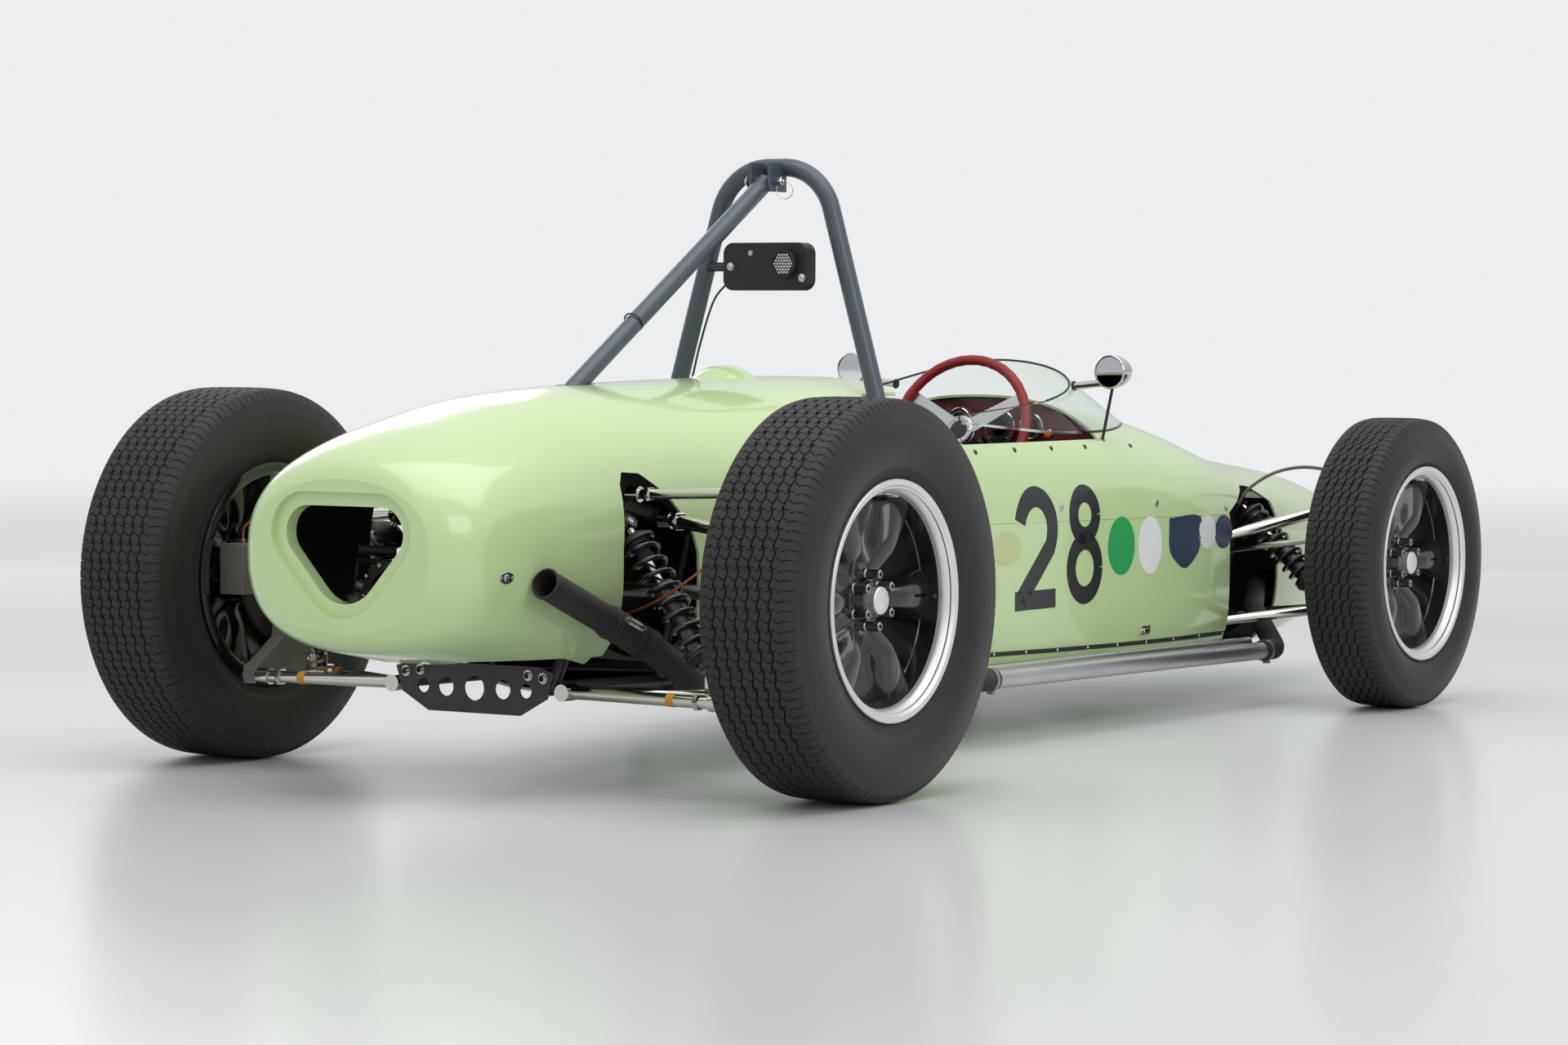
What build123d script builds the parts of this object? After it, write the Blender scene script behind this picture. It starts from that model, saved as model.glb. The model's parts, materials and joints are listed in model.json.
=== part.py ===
from build123d import *
import math
import os

# A single-seat open wheel racing car with its engine behind the driver.
# Millimetres. X points forward, Y to the driver's left, Z up.
# The origin is on the ground, under the middle of the car's overall box.

# Wheels and stance
wheelbase = 2286.0
front_overhang = 780.0
rear_overhang = 545.0
front_track = 1264.0
rear_track = 1356.0
front_tyre_radius = 311.0
rear_tyre_radius = 346.0
front_tyre_width = 165.0
rear_tyre_width = 206.0
front_rim_width = 146.0
rear_rim_width = 178.0
rim_lip_radius = 208.0
rim_bead_radius = 192.0
rim_wall = 8.0
lug_count = 6
lug_circle_radius = 44.5

# Body
body_half_width = 345.0
body_wall = 5.0
belly_height = 95.0
sill_height = 152.0
seam_height_front = 412.0
seam_height_rear = 440.0
cockpit_side_height = 583.0
panel_gap = 0.6
screen_wall = 3.0
screen_top = 743.0

# Frame tubes
tube_radius = 12.7
hoop_tube_radius = 17.5
hoop_top = 1118.0
hoop_waist = 227.0
fit = 0.3
running = 0.05

# Suspension and steering
kingpin_half_track = 548.0
upper_joint_height = 440.0
lower_joint_height = 215.0
steering_arm_length = 113.0
link_radius = 11.0
spring_radius = 33.0
spring_wire = 8.0
spring_turns = 8
eye_half = 12.0
disc_radius_front = 121.0
disc_radius_rear = 127.0
disc_thickness = 9.0
steering_wheel_radius = 155.0
steering_tilt = 19.8

# Places along the car
overall_length = front_overhang + wheelbase + rear_overhang
tail_x = -overall_length / 2
nose_x = overall_length / 2
rear_axle_x = tail_x + rear_overhang
front_axle_x = nose_x - front_overhang
hoop_x = rear_axle_x + 803
dash_x = front_axle_x - 693
bay_rear_x = front_axle_x - 183
bay_front_x = front_axle_x + 85
cover_front_x = hoop_x + 60
panel_rear_x = rear_axle_x + 143
rack_x = front_axle_x - steering_arm_length
rear_frame_x = rear_axle_x - 40
crossmember_x = rear_axle_x - 150
front_wheel_y = front_track / 2
rear_wheel_y = rear_track / 2


def mirrored(shape):
    """The same piece on the other side of the car."""
    return mirror(shape, about=Plane.XZ)


def flip(point, side):
    """A point given for the left, on the left (side 1) or right (side -1)."""
    return (point[0], side * point[1], point[2])


def rod(start, end, radius):
    """A round bar from one point to another."""
    a, b = Vector(*start), Vector(*end)
    direction = b - a
    base = Cylinder(radius, direction.length, align=(Align.CENTER, Align.CENTER, Align.MIN))
    return Plane(origin=a, z_dir=direction) * base


def block(low, high):
    """A box between two corners."""
    size = [h - l for l, h in zip(low, high)]
    middle = [(h + l) / 2 for l, h in zip(low, high)]
    return Pos(*middle) * Box(*size)


def turned(points):
    """A solid of revolution about Z from (radius, height) points."""
    face = Plane.XZ * make_face(Polyline(*points, close=True))
    return revolve(face, Axis.Z, 360)


def side_cut(points, half_width=900.0):
    """A prism across the car from an outline of (x, z) points."""
    face = Plane.XZ * make_face(Polyline(*points, close=True))
    return extrude(face, amount=half_width, both=True)


def cross_cut(outline, x, depth):
    """A prism along X from a sketch whose axes are (y, z), starting at x and going forward."""
    return extrude(Plane(origin=(x, 0, 0), x_dir=(0, 1, 0), z_dir=(1, 0, 0)) * outline, amount=depth)


def tube_path(points, radii, radius):
    """A tube along straight runs that are joined by tangent arcs."""
    route = FilletPolyline(*points, radius=radii)
    section = Plane(origin=route @ 0, z_dir=route % 0) * Circle(radius)
    return sweep(section, path=route)


def fused(pieces):
    """One solid from pieces that run into each other."""
    first, *rest = pieces
    return first.fuse(*rest) if rest else first


def on_line(line, x):
    """The (y, z) of a rail, given as points along the car, at a station."""
    for (xa, ya, za), (xb, yb, zb) in zip(line, line[1:]):
        if xa <= x <= xb:
            t = (x - xa) / (xb - xa)
            return ya + t * (yb - ya), za + t * (zb - za)
    return line[-1][1:]


def lugs(x, start, end, side):
    """Two flat lugs either side of an eye at x, between two (y, z) points."""
    pieces = []
    for middle in (x - eye_half - fit - 2.5, x + eye_half + fit + 2.5):
        bar = rod(flip((middle, *start), side), flip((middle, *end), side), 12)
        pieces.append(bar & block((middle - 2.5, -900, 0), (middle + 2.5, 900, 1200)))
        tip = (middle - 2.5, *end), (middle + 2.5, *end)
        pieces.append(rod(flip(tip[0], side), flip(tip[1], side), 12))
    return pieces


def body_table():
    """Sizes of the bodywork at places from tail to nose.

    Each is (x, half width, height of the widest line, top, bottom, upper and lower fullness).
    """
    r, f, w, b = rear_axle_x, front_axle_x, body_half_width, belly_height
    return [
        (tail_x, w - 155, 425, 550, 290, 2.3, 2.5),
        (r - 517, w - 120, 425, 585, 262, 2.3, 2.6),
        (r - 457, w - 92, 425, 614, 245, 2.3, 2.7),
        (r - 357, w - 80, 424, 644, 228, 2.3, 2.8),
        (r - 100, w - 63, 418, 690, 175, 2.3, 3.0),
        (r + 143, w - 39, 410, 704, b + 45, 2.3, 3.6),
        (r + 443, w - 15, 402, 711, b + 12, 2.5, 5.5),
        (hoop_x, w, 400, 715, b, 2.6, 8),
        (dash_x, w, 400, 672, b, 2.5, 8),
        (f - 443, w - 4, 396, 642, b, 2.25, 8),
        (f - 243, w - 12, 390, 604, b, 2.3, 7),
        (f - 93, w - 23, 380, 562, b, 2.3, 6),
        (f + 57, w - 40, 366, 534, b, 2.3, 4.6),
        (f + 227, w - 65, 350, 514, b + 4, 2.3, 3.8),
        (f + 457, w - 103, 332, 488, b + 22, 2.3, 3.0),
        (f + 637, w - 145, 322, 454, b + 60, 2.3, 2.6),
        (f + 730, w - 175, 318, 425, b + 100, 2.2, 2.3),
        (nose_x, w - 200, 316, 392, b + 140, 2.1, 2.1),
    ]


def smooth(xs, ys, x):
    """A value from a table by a cubic that never passes the table's own rises and falls."""
    steps = [b - a for a, b in zip(xs, xs[1:])]
    slopes = [(b - a) / h for a, b, h in zip(ys, ys[1:], steps)]
    tangents = [slopes[0]]
    for left, right in zip(slopes, slopes[1:]):
        tangents.append(2 * left * right / (left + right) if left * right > 0 else 0.0)
    tangents.append(slopes[-1])
    i = max(k for k in range(len(steps)) if k == 0 or xs[k] <= x)
    t = (x - xs[i]) / steps[i]
    return (
        ys[i] * (1 + 2 * t) * (1 - t) ** 2
        + ys[i + 1] * t * t * (3 - 2 * t)
        + steps[i] * (tangents[i] * t * (1 - t) ** 2 - tangents[i + 1] * t * t * (1 - t))
    )


def body_stations():
    """Cross-sections of the bodywork, close together at its ends and wider apart between."""
    columns = list(zip(*body_table()))
    count = 24
    stations = []
    for i in range(count + 1):
        u = i / count
        x = tail_x + overall_length * (u - 0.12 * math.sin(2 * math.pi * u))
        stations.append((x, *(smooth(columns[0], column, x) for column in columns[1:])))
    return stations


def section_points(station, inset):
    """Points of two superellipse halves that meet at the widest line.

    They are spread by length and by turning together, so tight corners get enough of them.
    """
    _, half_width, middle, top, bottom, upper, lower = station
    fine = []
    for i in range(2001):
        turn = 2 * math.pi * i / 2000 - math.pi / 2
        c, s = math.cos(turn), math.sin(turn)
        power = upper if s >= 0 else lower
        height = top - inset - middle if s >= 0 else middle - bottom - inset
        y = (half_width - inset) * math.copysign(abs(c) ** (2 / power), c)
        fine.append((y, middle + height * math.copysign(abs(s) ** (2 / power), s)))
    runs = [(b[0] - a[0], b[1] - a[1]) for a, b in zip(fine, fine[1:])]
    length = sum(math.hypot(*run) for run in runs)
    measure = [0.0]
    heading = 0.0
    for run in runs:
        angle = math.atan2(run[1], run[0])
        bend = abs((angle - heading + math.pi) % (2 * math.pi) - math.pi)
        heading = angle
        measure.append(measure[-1] + math.hypot(*run) / length + 0.6 * bend / (2 * math.pi))
    points, j = [], 0
    for k in range(section_count):
        goal = measure[-1] * k / section_count
        while measure[j + 1] < goal:
            j += 1
        t = (goal - measure[j]) / (measure[j + 1] - measure[j])
        points.append((fine[j][0] + t * runs[j][0], fine[j][1] + t * runs[j][1]))
    return points


section_count = 40


def body_section(station, inset):
    """One closed cross-section of the bodywork as a face."""
    points = [Vector(station[0], y, z) for y, z in section_points(station, inset)]
    places = [i / section_count for i in range(section_count + 1)]
    return Face(Wire([Edge.make_spline(points, periodic=True, parameters=places)]))


def body_form(inset, first=0):
    """The bodywork's outer form as a solid, drawn in by inset."""
    return loft([body_section(s, inset) for s in body_stations()[first:]])


outer_form = body_form(0)
inner_form = body_form(body_wall, first=1)
grown_form = body_form(-fit)
skin = outer_form - inner_form
inside_form = body_form(body_wall + fit)


def reach_out(low, high):
    """A block from low out to just short of the bodywork's inside, with a flat end."""
    trimmed = block(low, high) & inside_form
    ends = [v.Y for v in trimmed.vertices() if v.Y > low[1] + 1]
    return block(low, (high[0], min(ends), high[2]))


def reach_down(low, high):
    """A block from high down to just short of the bodywork's inside, with a flat foot."""
    trimmed = block(low, high) & inside_form
    feet = [v.Z for v in trimmed.vertices() if v.Z < high[2] - 1]
    return block((low[0], low[1], max(feet)), high)


def reach_in(low, high):
    """A block from high in to just short of the bodywork's outside, with a flat end."""
    trimmed = block(low, high) - grown_form
    ends = [v.Y for v in trimmed.vertices() if v.Y < high[1] - 1]
    return block((low[0], max(ends), low[2]), high)


def above_seam(x_low, x_high, gap):
    """Space above the seam between side panel and upper bodywork."""
    rise = (seam_height_rear - seam_height_front) / (panel_rear_x - bay_rear_x)
    z_low = seam_height_front + rise * (x_low - bay_rear_x) + gap
    z_high = seam_height_front + rise * (x_high - bay_rear_x) + gap
    return side_cut([(x_low, z_low), (x_high, z_high), (x_high, 1200), (x_low, 1200)])


def rounded_triangle(half_width, top, bottom, corner, foot):
    """The tail opening's outline: flat on top, with a narrower round foot."""
    left = Pos(-(half_width - corner), top - corner) * CenterArc((0, 0), corner, 0, 360)
    right = Pos(half_width - corner, top - corner) * CenterArc((0, 0), corner, 0, 360)
    low = Pos(0, bottom + foot) * CenterArc((0, 0), foot, 0, 360)
    return make_hull([left, right, low])


# Tail cover: the whole rear body over engine and gearbox
tail_opening_half_width = 125.0
tail_opening_top = 504.0
tail_opening_bottom = 338.0
tail_recess = 24.0
underside_height = 235.0
bubble_x = rear_axle_x + 623
bubble_radius = 90.0
bubble_top = 737.0


def tail_cover():
    region = fused([
        block((tail_x - 1, -900, 0), (panel_rear_x - panel_gap, 900, 1200)),
        above_seam(panel_rear_x - 60, cover_front_x, panel_gap),
        above_seam(cover_front_x - 60, cover_front_x + 70, panel_gap)
        & block((cover_front_x - 60, -195, 600), (cover_front_x + 70, 195, 1200)),
    ])
    shell = skin & region
    arch = [
        (rear_axle_x - 107, underside_height - 60),
        (rear_axle_x - 112, 420),
        (rear_axle_x - 100, 535),
        (rear_axle_x - 85, 556),
        (rear_axle_x - 40, 553),
        (rear_axle_x + 20, 515),
        (rear_axle_x + 75, 455),
        (rear_axle_x + 92, 410),
        (rear_axle_x + 96, 300),
        (rear_axle_x + 100, underside_height - 60),
    ]
    shell -= side_cut(arch)
    shell -= block((rear_axle_x - 352, -210, 0), (panel_rear_x + 1, 210, underside_height))
    shell -= block((rear_axle_x - 130, -900, 0), (panel_rear_x + 1, 900, underside_height))
    opening = rounded_triangle(
        tail_opening_half_width, tail_opening_top, tail_opening_bottom, 46, 74
    )
    recess = rounded_triangle(
        tail_opening_half_width + tail_recess,
        tail_opening_top + tail_recess,
        tail_opening_bottom - tail_recess,
        46 + tail_recess,
        74 + tail_recess,
    )
    shell -= cross_cut(opening, tail_x - 5, 80)
    shell -= cross_cut(recess, tail_x - 5, 17)
    for side in (1, -1):
        shell -= hoop_leg(side, hoop_tube_radius + 9)
    shell -= hoop_stay(hoop_tube_radius + 9)
    dome = Pos(bubble_x, 0, bubble_top - bubble_radius) * Sphere(bubble_radius)
    return fused([shell, dome & block((bubble_x - 90, -90, 706), (bubble_x + 90, 90, 800))])


# Roll hoop
hoop_bend = 112.0
hoop_foot_z = 418.2
stay_top = (hoop_x - 38, 0, hoop_top - 30)
stay_foot = (rear_frame_x, 0, 592)


def hoop_leg_y(z):
    """Half width of the hoop's straight leg at a height."""
    spread = (hoop_waist - 92) / (1000 - 700)
    return hoop_waist + spread * (700 - z) * 0.62


def hoop_leg(side, radius):
    """The line of one straight leg, up to the crown."""
    low = (hoop_x, side * hoop_leg_y(hoop_foot_z), hoop_foot_z)
    high = (hoop_x, side * (hoop_leg_y(hoop_top) - 6), hoop_top)
    return rod(low, high, radius)


def hoop_stay(radius):
    """The single stay that runs back from the crown to the frame."""
    return rod(stay_top, stay_foot, radius)


def roll_hoop():
    foot = hoop_leg_y(hoop_foot_z)
    crown = hoop_leg_y(hoop_top) - 6
    route = [
        (hoop_x, -foot, hoop_foot_z),
        (hoop_x, -crown, hoop_top),
        (hoop_x, crown, hoop_top),
        (hoop_x, foot, hoop_foot_z),
    ]
    hoop = tube_path(route, hoop_bend, hoop_tube_radius)
    stay = hoop_stay(hoop_tube_radius)
    ears = [
        block((hoop_x - 58, y - 3, hoop_top - 48), (hoop_x, y + 3, hoop_top + 8))
        for y in (-21.5, 21.5)
    ]
    pin = rod((hoop_x - 40, -34, hoop_top - 28), (hoop_x - 40, 34, hoop_top - 28), 8)
    return fused([hoop, stay, pin] + ears)


# Front body: nose, cowl and cockpit surround in one moulding
intake_lip = 12.0
cockpit_rear_x = hoop_x + 180
bay_top = 470.0


def front_body():
    region = fused([
        above_seam(cover_front_x + panel_gap, bay_front_x + 100, panel_gap),
        block((bay_front_x, -900, 0), (nose_x + 1, 900, 1200)),
    ])
    shell = skin & region
    cockpit = [
        (cover_front_x - 10, 672),
        (cockpit_rear_x - 30, 596),
        (cockpit_rear_x + 20, cockpit_side_height),
        (dash_x, cockpit_side_height),
        (dash_x, 900),
        (cover_front_x - 10, 900),
    ]
    shell -= side_cut(cockpit)
    bay = [
        (bay_rear_x - 2, 300),
        (bay_rear_x - 2, seam_height_front + 4),
        (bay_rear_x + 60, 440),
        (bay_rear_x + 130, bay_top),
        (bay_rear_x + 190, bay_top - 4),
        (bay_front_x + 20, 430),
        (bay_front_x + 30, 380),
        (bay_front_x + 30, 180),
        (bay_front_x + 5, 130),
        (bay_front_x - 40, 60),
        (bay_rear_x - 2, 60),
    ]
    shell -= side_cut(bay)
    intake = body_section(body_stations()[-1], intake_lip)
    shell -= extrude(intake, amount=60, dir=(-1, 0, 0))
    return shell


def side_panel():
    """The removable lower side panel on the left."""
    above = above_seam(panel_rear_x - 10, bay_rear_x + 10, 0)
    region = block((panel_rear_x, 120, sill_height), (bay_rear_x, 900, 600)) - above
    return skin & region


def exhaust_notch():
    """What the right panel leaves open for the exhaust at its rear lower corner."""
    x = rear_axle_x
    return side_cut([
        (x + 100, 100), (x + 100, 242), (x + 192, 242), (x + 236, 200), (x + 256, 100)
    ])


def floor_pan():
    region = block((panel_rear_x, -900, 0), (bay_rear_x, 900, sill_height - panel_gap))
    return skin & region


# Windscreen: a wraparound clear bubble that seats on the cowl
screen_rear_x = hoop_x + 240
screen_centre_x = dash_x - 250
screen_low = 550.0
screen_high = 770.0


def screen_slice(z, inset):
    """The bubble's plan outline at a height: a half ellipse in front of straight sides."""
    front = front_axle_x - 213 - 2.727 * (z - 600)
    long_half = front - screen_centre_x - inset
    side = 303 - 0.33 * (z - screen_low) - inset
    nose = EllipticalCenterArc((screen_centre_x, 0), long_half, side, start_angle=-90, arc_size=180)
    back = screen_rear_x - 80
    sides = Polyline(
        (screen_centre_x, side), (back, side), (back, -side), (screen_centre_x, -side)
    )
    return Pos(0, 0, z) * make_face([nose, sides])


def screen_form(inset):
    """The bubble as a solid, drawn in by inset."""
    return loft([screen_slice(screen_low, inset), screen_slice(screen_high, inset)], ruled=True)


def windscreen():
    shell = screen_form(0) - screen_form(screen_wall)
    shell -= block((screen_rear_x - 100, -400, 0), (screen_rear_x, 400, 1000))
    crown = 550.0
    trim = Pos(front_axle_x - 603, 0, screen_top - crown) * Rot(0, -3, 0) * Rot(0, 90, 0)
    shell = (shell & (trim * Cylinder(crown, 2400))) - grown_form
    return largest(shell)


def largest(shape):
    """The biggest solid of a shape, with any sliver left behind."""
    return max(shape.solids(), key=lambda s: s.volume)


# Cockpit fittings
dash_thickness = 3.0


def dash_panel():
    plate = body_form(body_wall + fit) & block((dash_x + 12, -400, 470), (dash_x + 15, 400, 900))
    plate -= column_line(0, 260, 17)
    gauges = [(-44, 38, 602), (-122, 26, 606), (50, 26, 616), (124, 26, 600)]
    cans = [
        rod((dash_x + 4, y, z), (dash_x + 60, y, z), radius)
        for y, radius, z in gauges
    ]
    return fused([plate] + cans)


def seat():
    outline = [
        (dash_x - 200, 235),
        (dash_x - 215, 250),
        (dash_x - 330, 195),
        (dash_x - 480, 175),
        (dash_x - 570, 215),
        (hoop_x + 95, 440),
        (hoop_x + 70, 600),
        (hoop_x + 50, 605),
        (hoop_x + 42, 590),
        (hoop_x + 55, 420),
        (dash_x - 600, 190),
        (dash_x - 560, 135),
        (dash_x - 500, lower_rail_z + fit),
        (dash_x - 300, lower_rail_z + fit),
        (dash_x - 210, 150),
    ]
    pan = side_cut(outline, 190)
    bolster = side_cut([
        (dash_x - 215, 200),
        (dash_x - 230, 265),
        (dash_x - 420, 290),
        (dash_x - 520, 350),
        (hoop_x + 160, 500),
        (hoop_x + 85, 560),
        (hoop_x + 50, 560),
        (hoop_x + 55, 420),
        (dash_x - 600, 190),
        (dash_x - 560, 150),
        (dash_x - 320, 150),
    ], 212)
    bolster -= block((-2000, -185, 0), (2000, 185, 1000))
    return fused([pan, bolster])


# Steering wheel and column
hub_x = dash_x - 82
hub_z = 597.0
column_length = 588.0


def steering_frame():
    """A frame at the wheel's hub with Z along the column towards the driver."""
    tilt = math.radians(steering_tilt)
    return Plane(
        origin=(hub_x, 0, hub_z),
        x_dir=(0, 1, 0),
        z_dir=(-math.cos(tilt), 0, math.sin(tilt)),
    )


def column_line(start, end, radius):
    """A bar on the column's axis, between two distances forward of the hub."""
    return steering_frame() * rod((0, 0, -start), (0, 0, -end), radius)


def steering_wheel():
    rim = Torus(steering_wheel_radius, 11)
    hub = Pos(0, 0, -12) * Cylinder(31, 34)
    spokes = []
    for angle in (30, 150, 270):
        arm = block((20, -15, -8), (steering_wheel_radius, 15, -4))
        spokes.append(Rot(0, 0, angle) * arm)
    column = Pos(0, 0, -12 - column_length / 2) * Cylinder(11, column_length)
    return steering_frame() * fused([rim, hub, column] + spokes)


def rack_housing():
    z = rack_height()
    body = rod((rack_x, -115, z), (rack_x, 115, z), 21)
    bore = rod((rack_x, -140, z), (rack_x, 140, z), 11 + running)
    foot_z = on_line(lower_rail, rack_x)[1] + brace_radius + fit
    feet = [
        block((rack_x - 16, y - 14, foot_z), (rack_x + 16, y + 14, z - 5))
        for y in (-80, 80)
    ]
    return fused([body] + feet) - bore


def rack_height():
    """Height of the rack's axis, which the tie rods drop to from the steering arms."""
    return 318.0


def rack_bar():
    z = rack_height()
    bar = rod((rack_x, -196, z), (rack_x, 196, z), 11)
    ends = [Pos(rack_x, y, z) * Sphere(15) for y in (-196, 196)]
    return fused([bar] + ends)


def tie_rod():
    """The left tie rod, whose outer eye lies on the steering arm's pad."""
    eye_z = steering_arm_top + fit + 7
    outer = (rack_x, kingpin_half_track, eye_z)
    inner = (rack_x, 196 + 15 + fit, rack_height() + 2)
    eye = Pos(*outer) * Cylinder(13, 14)
    return fused([rod(inner, (rack_x, kingpin_half_track - 8, eye_z), 6.5), eye])


# Frame
lower_rail_z = belly_height + body_wall + tube_radius + 7
upper_rail_z = 400.0
rail_y = body_half_width - 40
brace_radius = tube_radius - 3
weld = 0.8
rear_top_y = 225.0
rear_top_z = 500.0
rear_low_y = 155.0
rear_low_z = 178.0
front_frame_x = front_axle_x + 95
engine_rear_x = rear_axle_x + 330
engine_half_width = 150.0
gearbox_half_width = 85.0
radiator_x = front_axle_x + 395
lower_rail = [
    (crossmember_x, rear_low_y, rear_low_z),
    (panel_rear_x, rear_low_y + 25, rear_low_z - 6),
    (hoop_x, rail_y - 70, lower_rail_z),
    (dash_x, rail_y - 70, lower_rail_z),
    (bay_rear_x, rail_y - 70, lower_rail_z),
    (front_frame_x, rail_y - 140, lower_rail_z + 15),
]
upper_rail = [
    (rear_frame_x, rear_top_y, rear_top_z),
    (panel_rear_x, rail_y - 55, upper_rail_z + 50),
    (hoop_x, rail_y, upper_rail_z),
    (dash_x, rail_y, upper_rail_z),
    (bay_rear_x, rail_y - 43, upper_rail_z - 4),
    (front_frame_x, rail_y - 105, upper_rail_z - 20),
]


def panel_tabs():
    """Flat tabs on the left that carry the bodywork, out to just short of its inside."""
    pieces = []
    for x, low, high in (
        (panel_rear_x + 60, -6, 24),
        (hoop_x - 60, -6, 48),
        (dash_x - 450, -6, 44),
        (dash_x, -6, 36),
        (bay_rear_x - 25, -6, 32),
        (front_frame_x, 9, 17),
    ):
        y, z = on_line(upper_rail, x)
        pieces.append(reach_out((x - 10, y, z + low), (x + 10, 500, z + high)))
    for x in (panel_rear_x + 40, hoop_x, dash_x, bay_rear_x - 20):
        y, z = on_line(lower_rail, x)
        pieces.append(reach_down((x - 14, y - 14, 60), (x + 14, y + 14, z)))
    return pieces


def frame_mounts(side):
    """What carries the engine, gearbox, dampers and radiator on one side."""
    pieces = []
    for x in (hoop_x - 90, engine_rear_x + 60):
        y, z = on_line(upper_rail, x)
        pieces.append(rod((x, side * (engine_half_width + fit), z), (x, side * y, z), brace_radius))
    t = (300 - rear_low_z) / (rear_top_z - rear_low_z)
    x = crossmember_x + t * (rear_frame_x - crossmember_x)
    y = rear_low_y + t * (rear_top_y - rear_low_y)
    pieces.append(rod((x, side * (gearbox_half_width + fit), 300), (x, side * y, 300), brace_radius))
    x, y, z = front_damper_top
    pieces += lugs(x, on_line(upper_rail, x), (y, z), side)
    x, y, z = rear_damper_top
    pieces += lugs(x, (y - 32, z), (y, z), side)
    low, high = sorted((side * (y - 46), side * (y - 22)))
    pieces.append(block((x - 17, low, z - 10), (x + 17, high, z + 10)))
    end = (radiator_x - 6, side * 150, 195)
    pieces.append(rod(flip(lower_rail[-1], side), end, brace_radius))
    low, high = sorted((side * 130, side * 170))
    pieces.append(block((radiator_x - 9, low, 175), (radiator_x - fit, high, 215)))
    return pieces


def chassis_frame():
    rails, braces, mounts = [], [], []
    tabs = panel_tabs()
    tabs += [mirrored(tab) for tab in tabs]
    for side in (1, -1):
        for line in (lower_rail, upper_rail):
            for a, b in zip(line, line[1:]):
                rails.append(rod(flip(a, side), flip(b, side), tube_radius))
            for joint in line:
                rails.append(Pos(*flip(joint, side)) * Sphere(tube_radius + weld))
        a, b = lower_rail[0], upper_rail[0]
        rails.append(rod(flip(a, side), flip(b, side), tube_radius))
        lines = list(zip(lower_rail[1:], upper_rail[1:]))
        lines += [
            (upper_rail[1], lower_rail[2]),
            (lower_rail[4], upper_rail[5]),
            (lower_rail[2], upper_rail[3]),
        ]
        braces += [rod(flip(a, side), flip(b, side), brace_radius) for a, b in lines]
        mounts += frame_mounts(side)
    crossings = [
        (rear_frame_x, upper_rail), (hoop_x, lower_rail), (hoop_x, upper_rail),
        (bay_rear_x, lower_rail), (bay_rear_x, upper_rail), (rack_x, lower_rail),
        (front_frame_x, lower_rail), (front_frame_x, upper_rail),
    ]
    for x, line in crossings:
        y, z = on_line(line, x)
        braces.append(rod((x, -y, z), (x, y, z), brace_radius))
    for x in (dash_x - 480, dash_x - 320):
        y = on_line(lower_rail, x)[0]
        mounts.append(block((x - 15, -y, lower_rail_z - 11), (x + 15, y, lower_rail_z)))
    mounts.append(rod((rear_frame_x, 0, rear_top_z), (rear_frame_x, 0, 568), tube_radius))
    mounts.append(block((rear_frame_x - 26, -24, 558), (rear_frame_x + 26, 24, 592)))
    mounts.append(column_line(574, 640, 19))
    frame = fused(rails).fuse(*braces).fuse(*mounts)
    frame = frame.fuse(*tabs) - column_line(560, 606, 11 + running)
    beyond = [stay_foot[i] + 0.1 * (stay_foot[i] - stay_top[i]) for i in range(3)]
    return frame - rod(stay_top, tuple(beyond), hoop_tube_radius + fit)


def rear_crossmember():
    outline = Polyline(
        (-100, 128), (100, 128), (158, 160), (172, 205), (140, 215), (-140, 215), (-172, 205),
        (-158, 160), close=True,
    )
    plate = cross_cut(make_face(outline), crossmember_x - tube_radius - weld - fit - 4, 4)
    for y, radius in ((-62, 17), (62, 17), (0, 22), (-112, 13), (112, 13)):
        plate -= rod((crossmember_x - 60, y, 172), (crossmember_x, y, 172), radius)
    return plate


# Engine and gearbox
gearbox_rear_x = rear_axle_x - 300


def engine():
    """The heavy block, at its real place and size."""
    half = engine_half_width
    block_body = block((engine_rear_x, -half, 190), (hoop_x - 40, half, 560))
    rocker = block((engine_rear_x + 25, -70, 560), (hoop_x - 65, 70, 640))
    return fused([block_body, rocker])


def gearbox():
    x = rear_axle_x
    z = rear_tyre_radius
    bell = Pos(engine_rear_x - fit, 0, z) * Rot(0, -90, 0) * Cone(
        150, 95, 170, align=(Align.CENTER, Align.CENTER, Align.MIN)
    )
    half = gearbox_half_width
    case = block((x - 190, -half, z - 95), (x + 170, half, z + 95))
    outputs = rod((x, -112, z), (x, 112, z), 48)
    end = block((gearbox_rear_x, -62, z - 70), (x - 180, 62, z + 72))
    cover = rod((gearbox_rear_x - 14, 8, z + 10), (x - 200, 8, z + 10), 44)
    return fused([bell, case, outputs, end, cover])


def radiator():
    return block((radiator_x, -185, 168), (radiator_x + 50, 185, 422))


# Exhaust on the right
exhaust_radius = 26.0


def exhaust():
    x, y = rear_axle_x, -296
    wall_y = -(engine_half_width + fit)
    route = [
        (x - 366, y, 377), (x - 64, y, 256), (x + 95, y + 6, 182), (x + 232, -232, 200),
        (x + 340, -188, 215), (x + 430, -188, 330), (x + 430, wall_y, 330),
    ]
    pipe = tube_path(route, (120, 90, 70, 60, 34), exhaust_radius)
    bore = rod((x - 376, y, 381), (x - 250, y, 330.6), exhaust_radius - 2)
    clamp = rod((x - 92, y, 267.2), (x - 54, y, 252), exhaust_radius + 4)
    return fused([pipe, clamp]) - bore


# Coolant pipes along each side under the panels
pipe_y = 400.0
pipe_z = 126.0
pipe_radius = 19.0
pipe_front_x = front_axle_x - 168
pipe_rear_x = hoop_x + 160


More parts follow.
